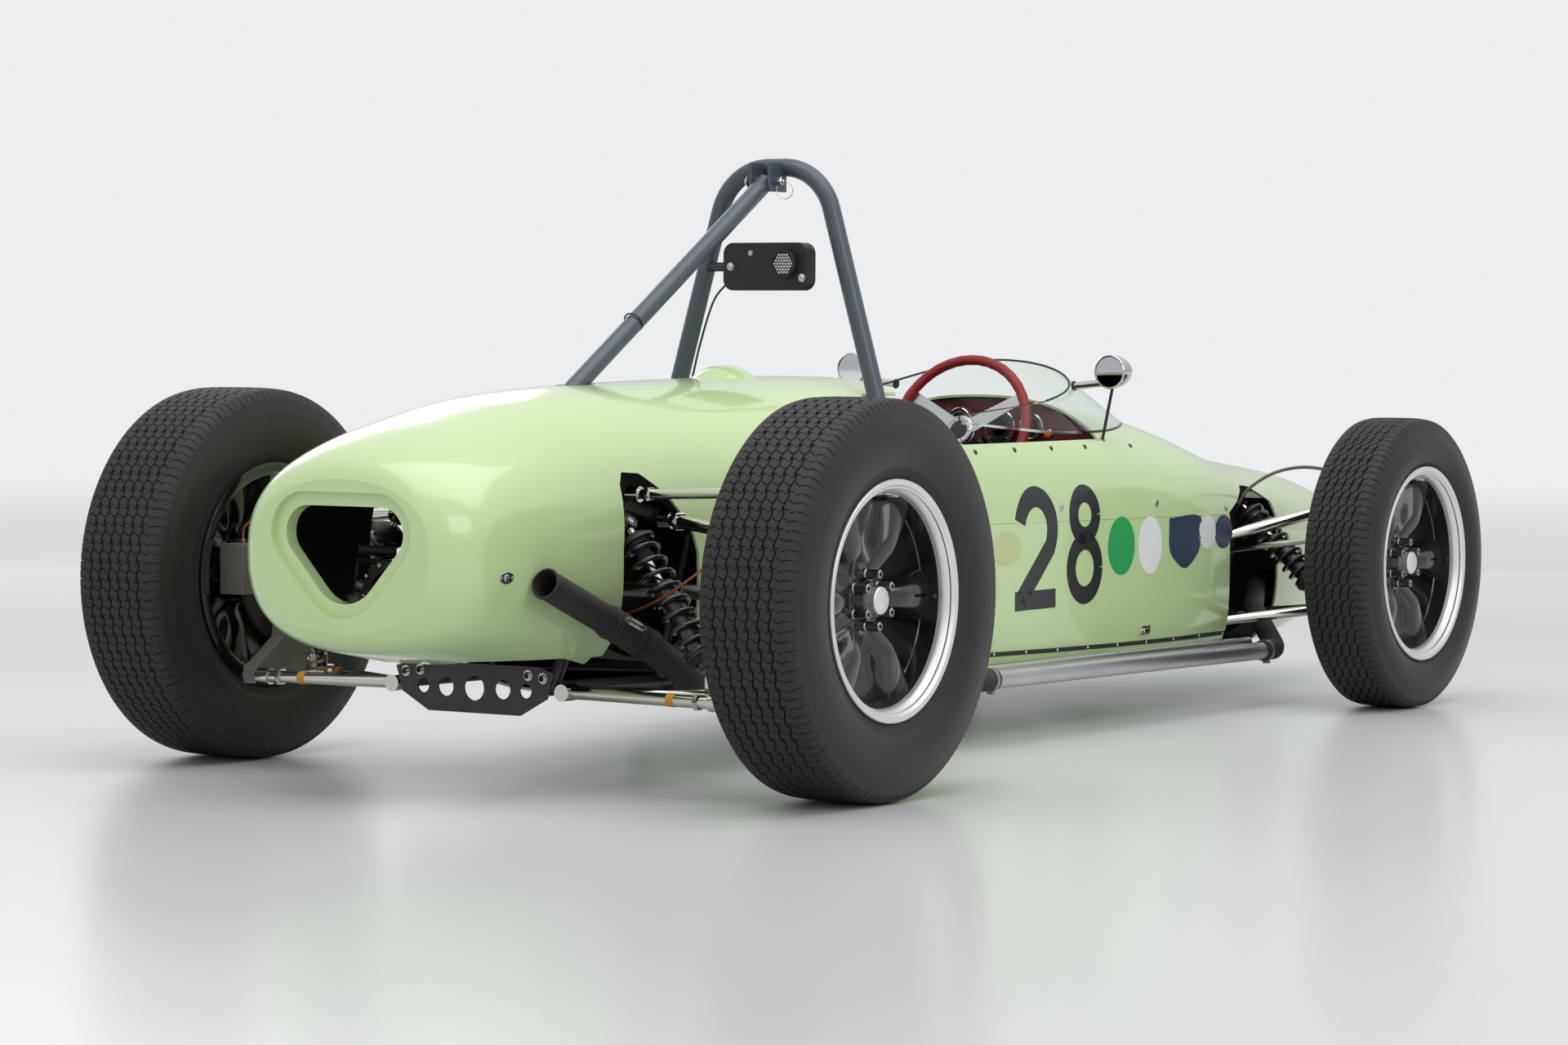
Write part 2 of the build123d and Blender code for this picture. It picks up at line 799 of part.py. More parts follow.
def coolant_pipes():
    main = rod((pipe_rear_x, pipe_y, pipe_z + 7), (pipe_front_x, pipe_y, pipe_z - 6), pipe_radius)
    second = rod((pipe_rear_x + 30, 358, 146), (pipe_front_x + 20, 358, 138), 9)
    carriers = []
    for x in (pipe_rear_x + 120, (pipe_rear_x + pipe_front_x) / 2, pipe_front_x - 120):
        carriers.append(reach_in((x - 8, 300, 128), (x + 8, pipe_y - 4, 134)))
        carriers.append(block((x - 8, 352, 128), (x + 8, 364, 150)))
    left = fused([main, second] + carriers)
    return Compound([left, mirrored(left)])


def coolant_hoses():
    pieces = []
    for side in (1, -1):
        front = tube_path(
            [
                (pipe_front_x + fit, side * pipe_y, pipe_z - 6),
                (pipe_front_x + 70, side * pipe_y, pipe_z - 6),
                (front_axle_x - 10, side * 300, pipe_z + 74),
                (front_axle_x + 130, side * 235, pipe_z + 109),
                (front_axle_x + 290, side * 160, pipe_z + 114),
                (radiator_x - fit, side * 160, pipe_z + 114),
            ],
            40,
            pipe_radius + 3,
        )
        rear = tube_path(
            [
                (pipe_rear_x - fit, side * pipe_y, pipe_z + 7),
                (pipe_rear_x - 55, side * pipe_y, pipe_z + 7),
                (pipe_rear_x - 80, side * 335, pipe_z + 7),
            ],
            30,
            pipe_radius + 3,
        )
        pieces += [front, largest(rear - grown_form)]
    return Compound(pieces)


# Mirrors and rain light
mirror_x = dash_x - 5
mirror_y = 312.0
mirror_z = 721.0
mirror_radius = 35.0


def mirror_left():
    shell = Pos(mirror_x, mirror_y, mirror_z) * Rot(0, 90, 0) * turned(bullet())
    arm = rod((mirror_x + 18, mirror_y - 10, mirror_z - 20), (mirror_x + 22, 190, mirror_z - 32), 8)
    arm -= screen_form(-fit)
    stay_foot = (mirror_x + 30, 262, 500)
    stay = rod((mirror_x + 22, mirror_y - 4, mirror_z - 22), stay_foot, 3.5) - grown_form
    return fused([shell, largest(arm), largest(stay)])


def bullet():
    """Half outline of the mirror's shell: flat glass at the rear, rounded to the front."""
    steps = 6
    nose = [
        (mirror_radius * math.cos(a), 72 * math.sin(a))
        for a in (math.pi / 2 * i / steps for i in range(1, steps))
    ]
    return [(0, -4), (mirror_radius - 3, -4), (mirror_radius, 0)] + nose + [(0, 72)]


def rain_light():
    x, z = hoop_x - hoop_tube_radius - 40, 926
    outline = RectangleRounded(190, 92, 22)
    case = cross_cut(Pos(-12, z) * outline, x, 34)
    lamp = rod((x - 12, -62, z + 5), (x, -62, z + 5), 26)
    leg_y = hoop_leg_y(z)
    stub = rod((x + 20, 70, z), (hoop_x, leg_y, z), 9)
    return fused([case, lamp, largest(stub - hoop_leg(1, hoop_tube_radius + fit))])


# Wheels
web_depth = 46.0


def wheel(rim_width, cap_depth, hub_end, bore_radius, bore_depth):
    """A cast wheel about Z, its outer side towards +Z and its middle plane at zero.

    The web is a thick dish with tapered pockets from both sides in turn, so what is left
    runs in and out around the wheel in one lobe to each wheel nut.
    """
    half = rim_width / 2
    inside = rim_bead_radius - rim_wall
    rim = turned([
        (inside, -half), (rim_lip_radius, -half), (rim_lip_radius, -half + 6),
        (rim_bead_radius, -half + 6), (rim_bead_radius, half - 6), (rim_lip_radius, half - 6),
        (rim_lip_radius, half), (rim_lip_radius - 8, half), (inside, half - 16),
    ])
    cap_top = half - cap_depth
    web_mid = cap_top - 48
    web = turned([
        (0, web_mid - 10), (60, web_mid - 10), (inside + 2, web_mid - web_depth / 2),
        (inside + 2, web_mid + web_depth / 2), (70, web_mid + 20), (0, web_mid + 14),
    ])
    for i in range(2 * lug_count):
        angle = 360 / (2 * lug_count) * i
        level = web_mid + web_depth / 2 + 6 if i % 2 else web_mid - web_depth / 2 - 6
        pocket = Pos(52, 0, level) * Rot(0, 90, 0) * Cone(
            8, 40, inside - 52, align=(Align.CENTER, Align.CENTER, Align.MIN)
        )
        web -= Rot(0, 0, angle) * pocket
    parts = [rim, web]
    for i in range(lug_count):
        angle = math.radians(360 / lug_count * i + 360 / (2 * lug_count))
        x, y = lug_circle_radius * math.cos(angle), lug_circle_radius * math.sin(angle)
        parts.append(rod((x, y, web_mid), (x, y, cap_top - 4), 8))
    parts.append(rod((0, 0, web_mid), (0, 0, cap_top), 24))
    parts.append(rod((0, 0, web_mid), (0, 0, hub_end), 62))
    solid = fused(parts)
    if bore_depth:
        solid -= rod((0, 0, hub_end - 1), (0, 0, hub_end + bore_depth), bore_radius)
    return solid


def tyre(radius, width, rim_width):
    """A tyre about Z: flat tread, canted shoulders and bulged walls down to the beads."""
    bead = rim_width / 2 - 6 - fit
    half = width / 2
    bore = rim_bead_radius + fit / 2
    tread = half - 26
    wall = rim_lip_radius + 1
    bulge = (wall + radius) / 2 - 6
    shoulder = radius - 30
    outline = [
        Polyline((wall, bead), (bore, bead), (bore, -bead), (wall, -bead)),
        ThreePointArc((wall, -bead), (bulge, -half), (shoulder, -half + 7)),
        Polyline((shoulder, -half + 7), (radius, -tread), (radius, tread), (shoulder, half - 7)),
        ThreePointArc((shoulder, half - 7), (bulge, half), (wall, bead)),
    ]
    return revolve(Plane.XZ * make_face(outline), Axis.Z, 360)


def brake_disc(radius, height, hub_radius):
    """A plain disc about Z with a hole that clears the wheel's hub."""
    disc = Cylinder(radius, disc_thickness) - Cylinder(hub_radius, 2 * disc_thickness)
    return Pos(0, 0, height) * disc


def on_axle(shape, x, y, z, side):
    """Turns a shape built about Z so that +Z points away from the car, and sets it in place."""
    return Pos(x, side * y, z) * Rot(-90 * side, 0, 0) * shape


# Front uprights, with the stub axle, steering arm and calliper
stub_radius = 17.0
steering_arm_z = 350.0
steering_arm_top = steering_arm_z + 8
front_disc_y = kingpin_half_track + 37


def front_upright():
    k = kingpin_half_track
    top = upper_joint_height - fit - eye_half
    low = lower_joint_height + fit + eye_half
    post = block((front_axle_x - 18, k - 11, low), (front_axle_x + 18, k + 14, top - 9))
    collar = rod((front_axle_x, k, top - 12), (front_axle_x, k, top), 10)
    boss = rod((front_axle_x, k - 16, front_tyre_radius), (front_axle_x, k + 24, front_tyre_radius), 34)
    stub = rod((front_axle_x, k, front_tyre_radius), (front_axle_x, front_wheel_y - 12, front_tyre_radius), stub_radius)
    pin_top = rod((front_axle_x, k, top - 5), (front_axle_x, k, upper_joint_height + 12), 6)
    pin_low = rod((front_axle_x, k, low + 5), (front_axle_x, k, lower_joint_height - 12), 6)
    arm = block((rack_x - 13, k - 11, steering_arm_z - 8), (front_axle_x, k + 11, steering_arm_top))
    bridge = block((front_axle_x, k - 8, front_tyre_radius - 22), (front_axle_x + 118, k + 8, front_tyre_radius + 22))
    jaw = block(
        (front_axle_x + 82, k + 4, front_tyre_radius - 48),
        (front_axle_x + 138, front_disc_y + 16, front_tyre_radius + 48),
    )
    slot = rod(
        (front_axle_x, front_disc_y - disc_thickness / 2 - 3, front_tyre_radius),
        (front_axle_x, front_disc_y + disc_thickness / 2 + 3, front_tyre_radius),
        disc_radius_front + 4,
    )
    return fused([post, collar, boss, stub, pin_top, pin_low, arm, bridge, jaw - slot])


def foot_place(station, z):
    """Beside a frame post, where a wishbone's inner end sits."""
    (x, ya, za), (_, yb, zb) = lower_rail[station], upper_rail[station]
    y = ya + (yb - ya) * (z - za) / (zb - za)
    forward = 12 if station == 5 else 0
    return (x + forward, y + brace_radius + fit + link_radius + 4, z)


def front_wishbones():
    """Upper and lower wishbones of both sides, inner ends on the frame."""
    pieces = []
    k = kingpin_half_track
    for side in (1, -1):
        for joint_z, inner_z in ((upper_joint_height, 356), (lower_joint_height, 176)):
            eye_at = (front_axle_x, k, joint_z)
            arms = [Pos(*flip(eye_at, side)) * Cylinder(17, 2 * eye_half)]
            for station in (4, 5):
                foot = foot_place(station, inner_z)
                start = (front_axle_x, k - 10, joint_z)
                arms.append(rod(flip(start, side), flip(foot, side), link_radius))
                ends = [(foot[0] + dx, foot[1], foot[2]) for dx in (-18, 18)]
                arms.append(rod(flip(ends[0], side), flip(ends[1], side), link_radius + 4))
            if joint_z == lower_joint_height:
                x, y, z = front_damper_foot
                reach = eye_half + fit + 7
                low, high = sorted((side * (y - 15), side * (y + 15)))
                arms.append(block((x - reach, low, z - 32), (x + reach, high, z - 18)))
                arms += lugs(x, (y, z - 26), (y, z), side)
            bore = rod(
                flip((front_axle_x, k, joint_z - 20), side),
                flip((front_axle_x, k, joint_z + 20), side),
                6 + running,
            )
            pieces.append(fused(arms) - bore)
    return Compound(pieces)


front_damper_top = (front_axle_x + 24, 245, 430)
front_damper_foot = (front_axle_x + 24, 455, 232)
rear_damper_top = (rear_axle_x - 60, 250, 466)
rear_damper_foot = (rear_axle_x - 60, 440, 201)


def coilover(top, bottom):
    """A damper inside its coil spring, between an eye at each end."""
    a, b = Vector(*top), Vector(*bottom)
    length = (b - a).length
    frame = Plane(origin=a, x_dir=(1, 0, 0), z_dir=b - a)
    body = Pos(0, 0, length * 0.62) * Cylinder(21, length * 0.56)
    shaft = Pos(0, 0, length * 0.3) * Cylinder(7, length * 0.5)
    upper_seat = Pos(0, 0, 34) * Cylinder(spring_radius, 8)
    lower_seat = Pos(0, 0, length - 46) * Cylinder(spring_radius, 8)
    eyes = [Pos(0, 0, z) * Rot(0, 90, 0) * Cylinder(14, 2 * eye_half) for z in (0, length)]
    stem = Pos(0, 0, length / 2) * Cylinder(9, length)
    coil_low, coil_high = 38, length - 50
    pitch = (coil_high - coil_low) / spring_turns
    coils = []
    for i in range(spring_turns):
        middle = coil_low + pitch * (i + 0.5)
        coils.append(turned([
            (8, middle - spring_wire / 2), (spring_radius - 3, middle - spring_wire / 2),
            (spring_radius, middle), (spring_radius - 3, middle + spring_wire / 2),
            (8, middle + spring_wire / 2),
        ]))
    return frame * fused([body, shaft, upper_seat, lower_seat, stem] + eyes + coils)


def front_coilovers():
    left = coilover(front_damper_top, front_damper_foot)
    return Compound([left, mirrored(left)])


# Rear suspension
rear_upright_y = 524.0
rear_upright_half = 20.0
rear_hub_y = rear_upright_y + rear_upright_half + fit
rear_disc_y = rear_hub_y + 16
upright_foot_z = 168.0
upright_top_z = 524.0


def rear_uprights():
    x, z, y = rear_axle_x, rear_tyre_radius, rear_upright_y
    outline = [
        (x - 75, upright_top_z + 14), (x - 40, upright_top_z + 14), (x + 20, 440), (x + 55, z + 20),
        (x + 55, z - 40), (x + 25, 240), (x + 30, upright_foot_z - 14), (x - 150, upright_foot_z - 14),
        (x - 150, upright_foot_z + 14), (x - 70, 235), (x - 60, z - 40), (x - 60, 440),
    ]
    face = Plane.XZ * make_face(Polyline(*outline, close=True))
    plate = Pos(0, y, 0) * extrude(face, amount=rear_upright_half * 0.7, both=True)
    boss = rod((x, y - rear_upright_half, z), (x, y + rear_upright_half, z), 62)
    left = fused([plate, boss]) - rod((x, y - 60, z), (x, y + 60, z), 30 + running)
    return Compound([left, mirrored(left)])


def rear_callipers():
    x, z = rear_axle_x, rear_tyre_radius
    y = rear_disc_y
    jaw = block((x - 158, y - 26, z - 30), (x - 92, y + 26, z + 62))
    slot = rod((x, y - disc_thickness / 2 - 3, z), (x, y + disc_thickness / 2 + 3, z), disc_radius_rear + 4)
    mount = block((x - 110, rear_upright_y, z - 10), (x - 40, y - 12, z + 30))
    mount -= rod((x, rear_upright_y, z), (x, y + 60, z), 64)
    mount -= block((x - 200, rear_upright_y, z - 60), (x, rear_upright_y + rear_upright_half * 0.7 + fit, z + 80))
    left = fused([jaw - slot, mount])
    return Compound([left, mirrored(left)])


def rear_links():
    """Lower wishbones with one inner pivot, top links and short upper radius rods."""
    x = rear_axle_x
    face_y = rear_upright_y - rear_upright_half * 0.7 - fit
    pivot_y = rear_low_y + 31
    pieces = []
    for side in (1, -1):
        pivot = (crossmember_x + 4, pivot_y, rear_low_z - 6)
        feet = [(foot_x, face_y - 14, upright_foot_z) for foot_x in (x - 140, x + 20)]
        parts = []
        for foot in feet:
            parts.append(rod(flip(pivot, side), flip(foot, side), link_radius))
            parts.append(Pos(*flip(foot, side)) * Rot(90, 0, 0) * Cylinder(15, 28))
        ends = [(pivot[0] + dx, pivot_y, pivot[2]) for dx in (-18, 20)]
        parts.append(rod(flip(ends[0], side), flip(ends[1], side), 15))
        damper_x, y, z = rear_damper_foot
        reach = (y - pivot_y) / (feet[0][1] - pivot_y)
        bridge = [
            (pivot[0] + reach * (foot[0] - pivot[0]), y, pivot[2] + reach * (foot[2] - pivot[2]))
            for foot in feet
        ]
        parts.append(rod(flip(bridge[0], side), flip(bridge[1], side), 9))
        low, high = sorted((side * (y - 12), side * (y + 12)))
        parts.append(block((damper_x - 17, low, z - 34), (damper_x + 17, high, z - 18)))
        parts += lugs(damper_x, (y, z - 26), (y, z), side)
        pieces.append(fused(parts))
        inner = (x - 37, rear_top_y + tube_radius + 14, 516)
        outer = (x - 57, face_y - 12, upright_top_z)
        pieces.append(end_link(inner, outer, 9, side))
        inner = (x + 45, rear_top_y + tube_radius + 28, 470)
        outer = (x - 40, face_y - 12, 450)
        pieces.append(end_link(inner, outer, 12, side))
    return Compound(pieces)


def end_link(inner, outer, radius, side):
    """A straight link with an eye at each end."""
    eyes = [Pos(*flip(p, side)) * Rot(90, 0, 0) * Cylinder(radius + 5, 24) for p in (inner, outer)]
    return fused([rod(flip(inner, side), flip(outer, side), radius)] + eyes)


def rear_coilovers():
    left = coilover(rear_damper_top, rear_damper_foot)
    return Compound([left, mirrored(left)])


def driveshaft():
    """Shaft with a joint at each end, about Z, its outer end in the wheel's hub."""
    inner = 112 + fit - rear_wheel_y
    outer = rear_hub_y - rear_wheel_y
    flange = rod((0, 0, inner), (0, 0, inner + 14), 44)
    joint = rod((0, 0, inner + 14), (0, 0, inner + 70), 26)
    bar = rod((0, 0, inner + 60), (0, 0, outer - 60), 13)
    outer_joint = rod((0, 0, outer - 110), (0, 0, outer - 50), 28)
    spindle = rod((0, 0, outer - 60), (0, 0, outer - fit), 30)
    return fused([flange, joint, bar, outer_joint, spindle])


os.makedirs("parts", exist_ok=True)


def write(name, shape):
    """Writes one node of the car."""
    export_step(shape, f"parts/{name}.step")


left_panel = side_panel()
write("side_panel_left", left_panel)
write("side_panel_right", mirrored(left_panel) - exhaust_notch())
write("floor_pan", floor_pan())
write("front_body", front_body())
write("tail_cover", tail_cover())
write("windscreen", windscreen())
write("chassis_frame", chassis_frame())
write("rear_crossmember", rear_crossmember())
write("roll_hoop", roll_hoop())
write("rain_light", rain_light())
write("seat", seat())
write("dash_panel", dash_panel())
write("steering_wheel", steering_wheel())
write("rack_housing", rack_housing())
write("rack_bar", rack_bar())
left_tie_rod = tie_rod()
write("tie_rods", Compound([left_tie_rod, mirrored(left_tie_rod)]))
write("engine", engine())
write("gearbox", gearbox())
write("exhaust", exhaust())
write("radiator", radiator())
write("coolant_pipes", coolant_pipes())
write("coolant_hoses", coolant_hoses())
left_mirror = mirror_left()
write("mirrors", Compound([left_mirror, mirrored(left_mirror)]))
left_upright = front_upright()
write("front_upright_left", left_upright)
write("front_upright_right", mirrored(left_upright))
write("front_wishbones", front_wishbones())
write("front_coilovers", front_coilovers())
write("rear_uprights", rear_uprights())
write("rear_callipers", rear_callipers())
write("rear_links", rear_links())
write("rear_coilovers", rear_coilovers())

front_hub_end = kingpin_half_track + 24 + fit - front_wheel_y
rear_hub_end = rear_hub_y - rear_wheel_y
front_wheel = wheel(front_rim_width, 30, front_hub_end, stub_radius + running, 66)
rear_wheel = wheel(rear_rim_width, 28, rear_hub_end, 0, 0)
front_tyre = tyre(front_tyre_radius, front_tyre_width, front_rim_width)
rear_tyre = tyre(rear_tyre_radius, rear_tyre_width, rear_rim_width)
front_disc = brake_disc(disc_radius_front, front_disc_y - front_wheel_y, 62 + fit)
rear_disc = brake_disc(disc_radius_rear, rear_disc_y - rear_wheel_y, 62 + fit)
shaft = driveshaft()

for label, side in (("left", 1), ("right", -1)):
    front = (front_axle_x, front_wheel_y, front_tyre_radius, side)
    rear = (rear_axle_x, rear_wheel_y, rear_tyre_radius, side)
    write(f"wheel_front_{label}", on_axle(front_wheel, *front))
    write(f"tyre_front_{label}", on_axle(front_tyre, *front))
    write(f"brake_disc_front_{label}", on_axle(front_disc, *front))
    write(f"wheel_rear_{label}", on_axle(rear_wheel, *rear))
    write(f"tyre_rear_{label}", on_axle(rear_tyre, *rear))
    write(f"brake_disc_rear_{label}", on_axle(rear_disc, *rear))
    write(f"driveshaft_{label}", on_axle(shaft, *rear))
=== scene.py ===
import json
import math

import bmesh
import bpy
import numpy as np
from mathutils import Matrix, Vector
from mathutils.bvhtree import BVHTree


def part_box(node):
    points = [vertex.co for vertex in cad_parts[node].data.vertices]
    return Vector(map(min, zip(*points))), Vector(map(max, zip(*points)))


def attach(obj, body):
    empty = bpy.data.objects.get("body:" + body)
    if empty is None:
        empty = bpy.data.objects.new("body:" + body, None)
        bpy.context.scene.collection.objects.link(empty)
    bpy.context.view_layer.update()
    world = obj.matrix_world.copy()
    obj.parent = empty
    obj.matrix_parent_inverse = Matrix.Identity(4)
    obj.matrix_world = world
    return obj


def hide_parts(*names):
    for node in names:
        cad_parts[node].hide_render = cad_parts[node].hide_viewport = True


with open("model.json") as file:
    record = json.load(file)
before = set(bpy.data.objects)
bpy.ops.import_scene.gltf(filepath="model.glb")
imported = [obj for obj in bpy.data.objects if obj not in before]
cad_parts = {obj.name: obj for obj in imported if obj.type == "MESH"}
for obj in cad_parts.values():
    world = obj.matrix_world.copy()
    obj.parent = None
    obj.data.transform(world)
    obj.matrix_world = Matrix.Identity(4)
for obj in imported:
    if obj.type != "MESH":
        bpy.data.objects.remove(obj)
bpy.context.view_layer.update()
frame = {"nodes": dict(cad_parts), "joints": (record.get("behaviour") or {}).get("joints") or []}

# The dressed form of a single-seat open wheel racing car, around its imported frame.
# Shapes are worked out in millimetres and stored in metres.
# X points forward, Y to the driver's left, Z up.

MM = 0.001
nodes = frame["nodes"]
joint_at = {j["name"]: np.array(j["pos_m"]) / MM for j in frame["joints"] if "pos_m" in j}
front_axle = joint_at["front_left_spin"]
rear_axle = joint_at["rear_left_spin"]
front_x, rear_x = front_axle[0], rear_axle[0]
hoop_x = rear_x + 803
dash_x = front_x - 693


# Shapes

def grid(points, close_u=False, close_v=False):
    """Four-sided faces between neighbours of a grid of points, u along its rows."""
    n, m = points.shape[:2]
    i = np.arange(n if close_u else n - 1)[:, None]
    j = np.arange(m if close_v else m - 1)[None, :]
    i2, j2 = (i + 1) % n, (j + 1) % m
    faces = np.stack([i * m + j, i2 * m + j, i2 * m + j2, i * m + j2], -1)
    return points.reshape(-1, 3), faces.reshape(-1, 4)


def polar(radius, angle, height):
    """Points (radius cos(angle), radius sin(angle), height)."""
    return np.stack(np.broadcast_arrays(radius * np.cos(angle), radius * np.sin(angle), height), -1)


def turned(profile, steps=48, closed=False):
    """A lathe form about Z: (radius, height) points turned through equal steps."""
    radius, height = np.asarray(profile, float).T
    angle = np.linspace(0, 2 * np.pi, steps, endpoint=False)[:, None]
    return grid(polar(radius, angle, height), True, closed)


def circle(radius, steps=40, height=0.0):
    """Points of a circle about Z."""
    return polar(radius, np.linspace(0, 2 * np.pi, steps, endpoint=False), height)


def carried(path, outline, up=(0, 0, 1), closed=False, size=1.0):
    """An outline carried along a path.

    side = direction x up, over = side x direction, point = path + size (u side + v over).
    """
    path = np.asarray(path, float)
    if closed:
        along = np.roll(path, -1, 0) - np.roll(path, 1, 0)
    else:
        along = np.gradient(path, axis=0)
    along /= np.linalg.norm(along, axis=1, keepdims=True)
    side = np.cross(along, up)
    side /= np.linalg.norm(side, axis=1, keepdims=True)
    over = np.cross(side, along)
    size = np.broadcast_to(size, len(path))[:, None, None]
    u, v = outline[:, 0][None, :, None], outline[:, 1][None, :, None]
    points = path[:, None] + size * (u * side[:, None] + v * over[:, None])
    if not closed:
        ends = [np.repeat(path[k][None, None], len(outline), 1) for k in (0, -1)]
        points = np.concatenate([ends[0], points, ends[1]])
    return grid(points, closed, True)


def tube(path, radius, up=(0, 0, 1), sides=12, closed=False):
    """A round bar along a path."""
    return carried(path, circle(1, sides)[:, :2], up, closed, radius)


def soft_line(radius, length, soft):
    """The outer line of a round bar, with its two edges taken off."""
    return [(radius - soft, 0), (radius, soft), (radius, length - soft), (radius - soft, length)]


def bar(start, end, radius, sides=20):
    """A straight round bar with softened ends between two points."""
    a, b = np.asarray(start, float), np.asarray(end, float)
    length = np.linalg.norm(b - a)
    profile = [(0, 0)] + soft_line(radius, length, min(radius * 0.12, 1.0)) + [(0, length)]
    return put(turned(profile, sides), a, b - a)


def through(points, steps=8):
    """A smooth line through points: the cubic of each span leaves along its neighbours' chord."""
    p = np.asarray(points, float)
    p = np.concatenate([2 * p[:1] - p[1:2], p, 2 * p[-1:] - p[-2:-1]])
    t = np.linspace(0, 1, steps, endpoint=False)[None, :, None]
    a, b, c, d = (p[k:len(p) - 3 + k][:, None] for k in range(4))
    line = 0.5 * (2 * b + (c - a) * t + (2 * a - 5 * b + 4 * c - d) * t ** 2
                  + (3 * b - a - 3 * c + d) * t ** 3)
    return np.concatenate([line.reshape(-1, 3), p[-2:-1]])


def facing(place, direction, up=(0, 0, 1)):
    """A placing whose own Z points along a direction."""
    z = np.asarray(direction, float) / np.linalg.norm(direction)
    if abs(z @ np.asarray(up, float)) > 0.98:
        up = (1, 0, 0)
    x = np.cross(up, z)
    x /= np.linalg.norm(x)
    matrix = np.eye(4)
    matrix[:3, 0], matrix[:3, 1], matrix[:3, 2], matrix[:3, 3] = x, np.cross(z, x), z, place
    return matrix


def turned_by(angle, place=(0, 0, 0)):
    """A placing turned about Z."""
    matrix = np.eye(4)
    c, s = math.cos(angle), math.sin(angle)
    matrix[:2, :2] = [[c, -s], [s, c]]
    matrix[:3, 3] = place
    return matrix


def placed(part, matrix):
    """A part put in place by a matrix."""
    points, faces = part
    return points @ matrix[:3, :3].T + matrix[:3, 3], faces


def put(part, place, direction):
    """A part at a place, its Z along a direction."""
    return placed(part, facing(place, direction))


def spun(part, angle=0.0, place=(0, 0, 0)):
    """A part turned about Z and moved."""
    return placed(part, turned_by(angle, place))


def on_circle(radius, angles, height=0.0, turn=True):
    """Placings on a circle about Z, each turned with its own angle or left as it is."""
    return [turned_by(a if turn else 0, (radius * math.cos(a), radius * math.sin(a), height))
            for a in angles]


def joined(parts):
    """Several parts as one."""
    starts = np.cumsum([0] + [len(p[0]) for p in parts[:-1]])
    points = np.concatenate([p[0] for p in parts])
    faces = np.concatenate([p[1] + s for p, s in zip(parts, starts)])
    return points, faces


def repeated(part, matrices):
    """A part put in several places at once."""
    points, faces = part
    m = np.asarray(matrices)
    many = np.einsum("kij,nj->kni", m[:, :3, :3], points) + m[:, None, :3, 3]
    shift = (np.arange(len(m)) * len(points))[:, None, None]
    return many.reshape(-1, 3), (faces[None] + shift).reshape(-1, 4)


def box_part(low, high, soft=1.0):
    """A box with bevelled edges, as a stack of eight-cornered rings."""
    low, high = np.asarray(low, float), np.asarray(high, float)
    middle, half = (low + high) / 2, (high - low) / 2
    soft = min(soft, half.min() * 0.6)
    corners = np.array([(1, 1), (-1, 1), (-1, -1), (1, -1)], float)
    rings = []
    for z, inset in ((-1, soft), (-1, 0), (1, 0), (1, soft)):
        flat = []
        for cx, cy in corners:
            first = (cx * (half[0] - soft - inset * 0.4), cy * (half[1] - inset))
            second = (cx * (half[0] - inset), cy * (half[1] - soft - inset * 0.4))
            flat += [first, second] if cx * cy < 0 else [second, first]
        level = z * (half[2] - (soft if inset == 0 else 0))
        rings.append([(x, y, level) for x, y in flat])
    rings = np.array(rings)
    ends = [np.repeat(rings[k].mean(0)[None, None], 8, 1) for k in (0, -1)]
    points = np.concatenate([ends[0], rings, ends[1]]) + middle
    return grid(points, False, True)


def plate(outline, thickness, soft=0.8):
    """A flat plate about Z = 0 with softened edges, from its outline about the origin."""
    outline = np.asarray(outline, float)
    centre = outline.mean(0)
    reach = np.linalg.norm(outline - centre, axis=1, keepdims=True)
    rings = []
    for share, height in ((0, 1), (1, 1), (0, 0.5), (0, -0.5), (1, -1), (0, -1)):
        if (share, abs(height)) == (0, 1):
            flat = np.repeat(centre[None], len(outline), 0)
        else:
            flat = centre + (outline - centre) * (1 - share * soft / reach)
        level = np.sign(height) * (thickness / 2 - (0 if share or abs(height) == 1 else soft))
        rings.append(np.concatenate([flat, np.full((len(flat), 1), level)], 1))
    return grid(np.array(rings), False, True)


def hex_nut(radius, height, hole=0.5):
    """A six-sided nut standing on Z = 0 with a chamfered top and a recess."""
    recess = [(radius * hole, height), (radius * hole, height * 0.55), (0, height * 0.55)]
    return turned([(0, 0)] + soft_line(radius, height, radius * 0.14) + recess, 6)


def disc(radius, low, high, steps=20):
    """A round bar about Z between two heights."""
    return turned([(0, low), (radius, low), (radius, high), (0, high)], steps)


def sleeve(inner, outer, low, high, steps):
    """A tube about Z between two heights."""
    return turned([(inner, low), (outer, low), (outer, high), (inner, high)], steps, True)


def bolt_head(radius, height):
    """A six-sided bolt head with a washer under it, standing on Z = 0."""
    return joined([disc(radius * 1.35, 0, 1.2),
                   spun(hex_nut(radius, height, 0.3), 0.3, (0, 0, 1.0))])


def dome(radius, height, steps=16):
    """A domed head: radius cos(a), height sin(a)."""
    a = np.linspace(0, np.pi / 2, 5)
    profile = [(0, -0.6), (radius, -0.6)] + list(zip(radius * np.cos(a), height * np.sin(a)))
    return turned(profile, steps)


def both_sides(part):
    """A part and its mirror image across the car's middle."""
    points, faces = part
    other = points * np.array([1, -1, 1])
    return joined([part, (other, faces[:, ::-1])])


def linked(name, data):
    """A new object in the scene."""
    thing = bpy.data.objects.new(name, data)
    bpy.context.scene.collection.objects.link(thing)
    return thing


def read_points(mesh, what="co"):
    """A mesh's places or normals as rows."""
    values = np.empty(len(mesh.vertices) * 3, np.float32)
    mesh.vertices.foreach_get(what, values)
    return values.reshape(-1, 3)


def smoothed(mesh):
    """All faces of a mesh shaded smooth."""
    mesh.polygons.foreach_set("use_smooth", np.ones(len(mesh.polygons), bool))


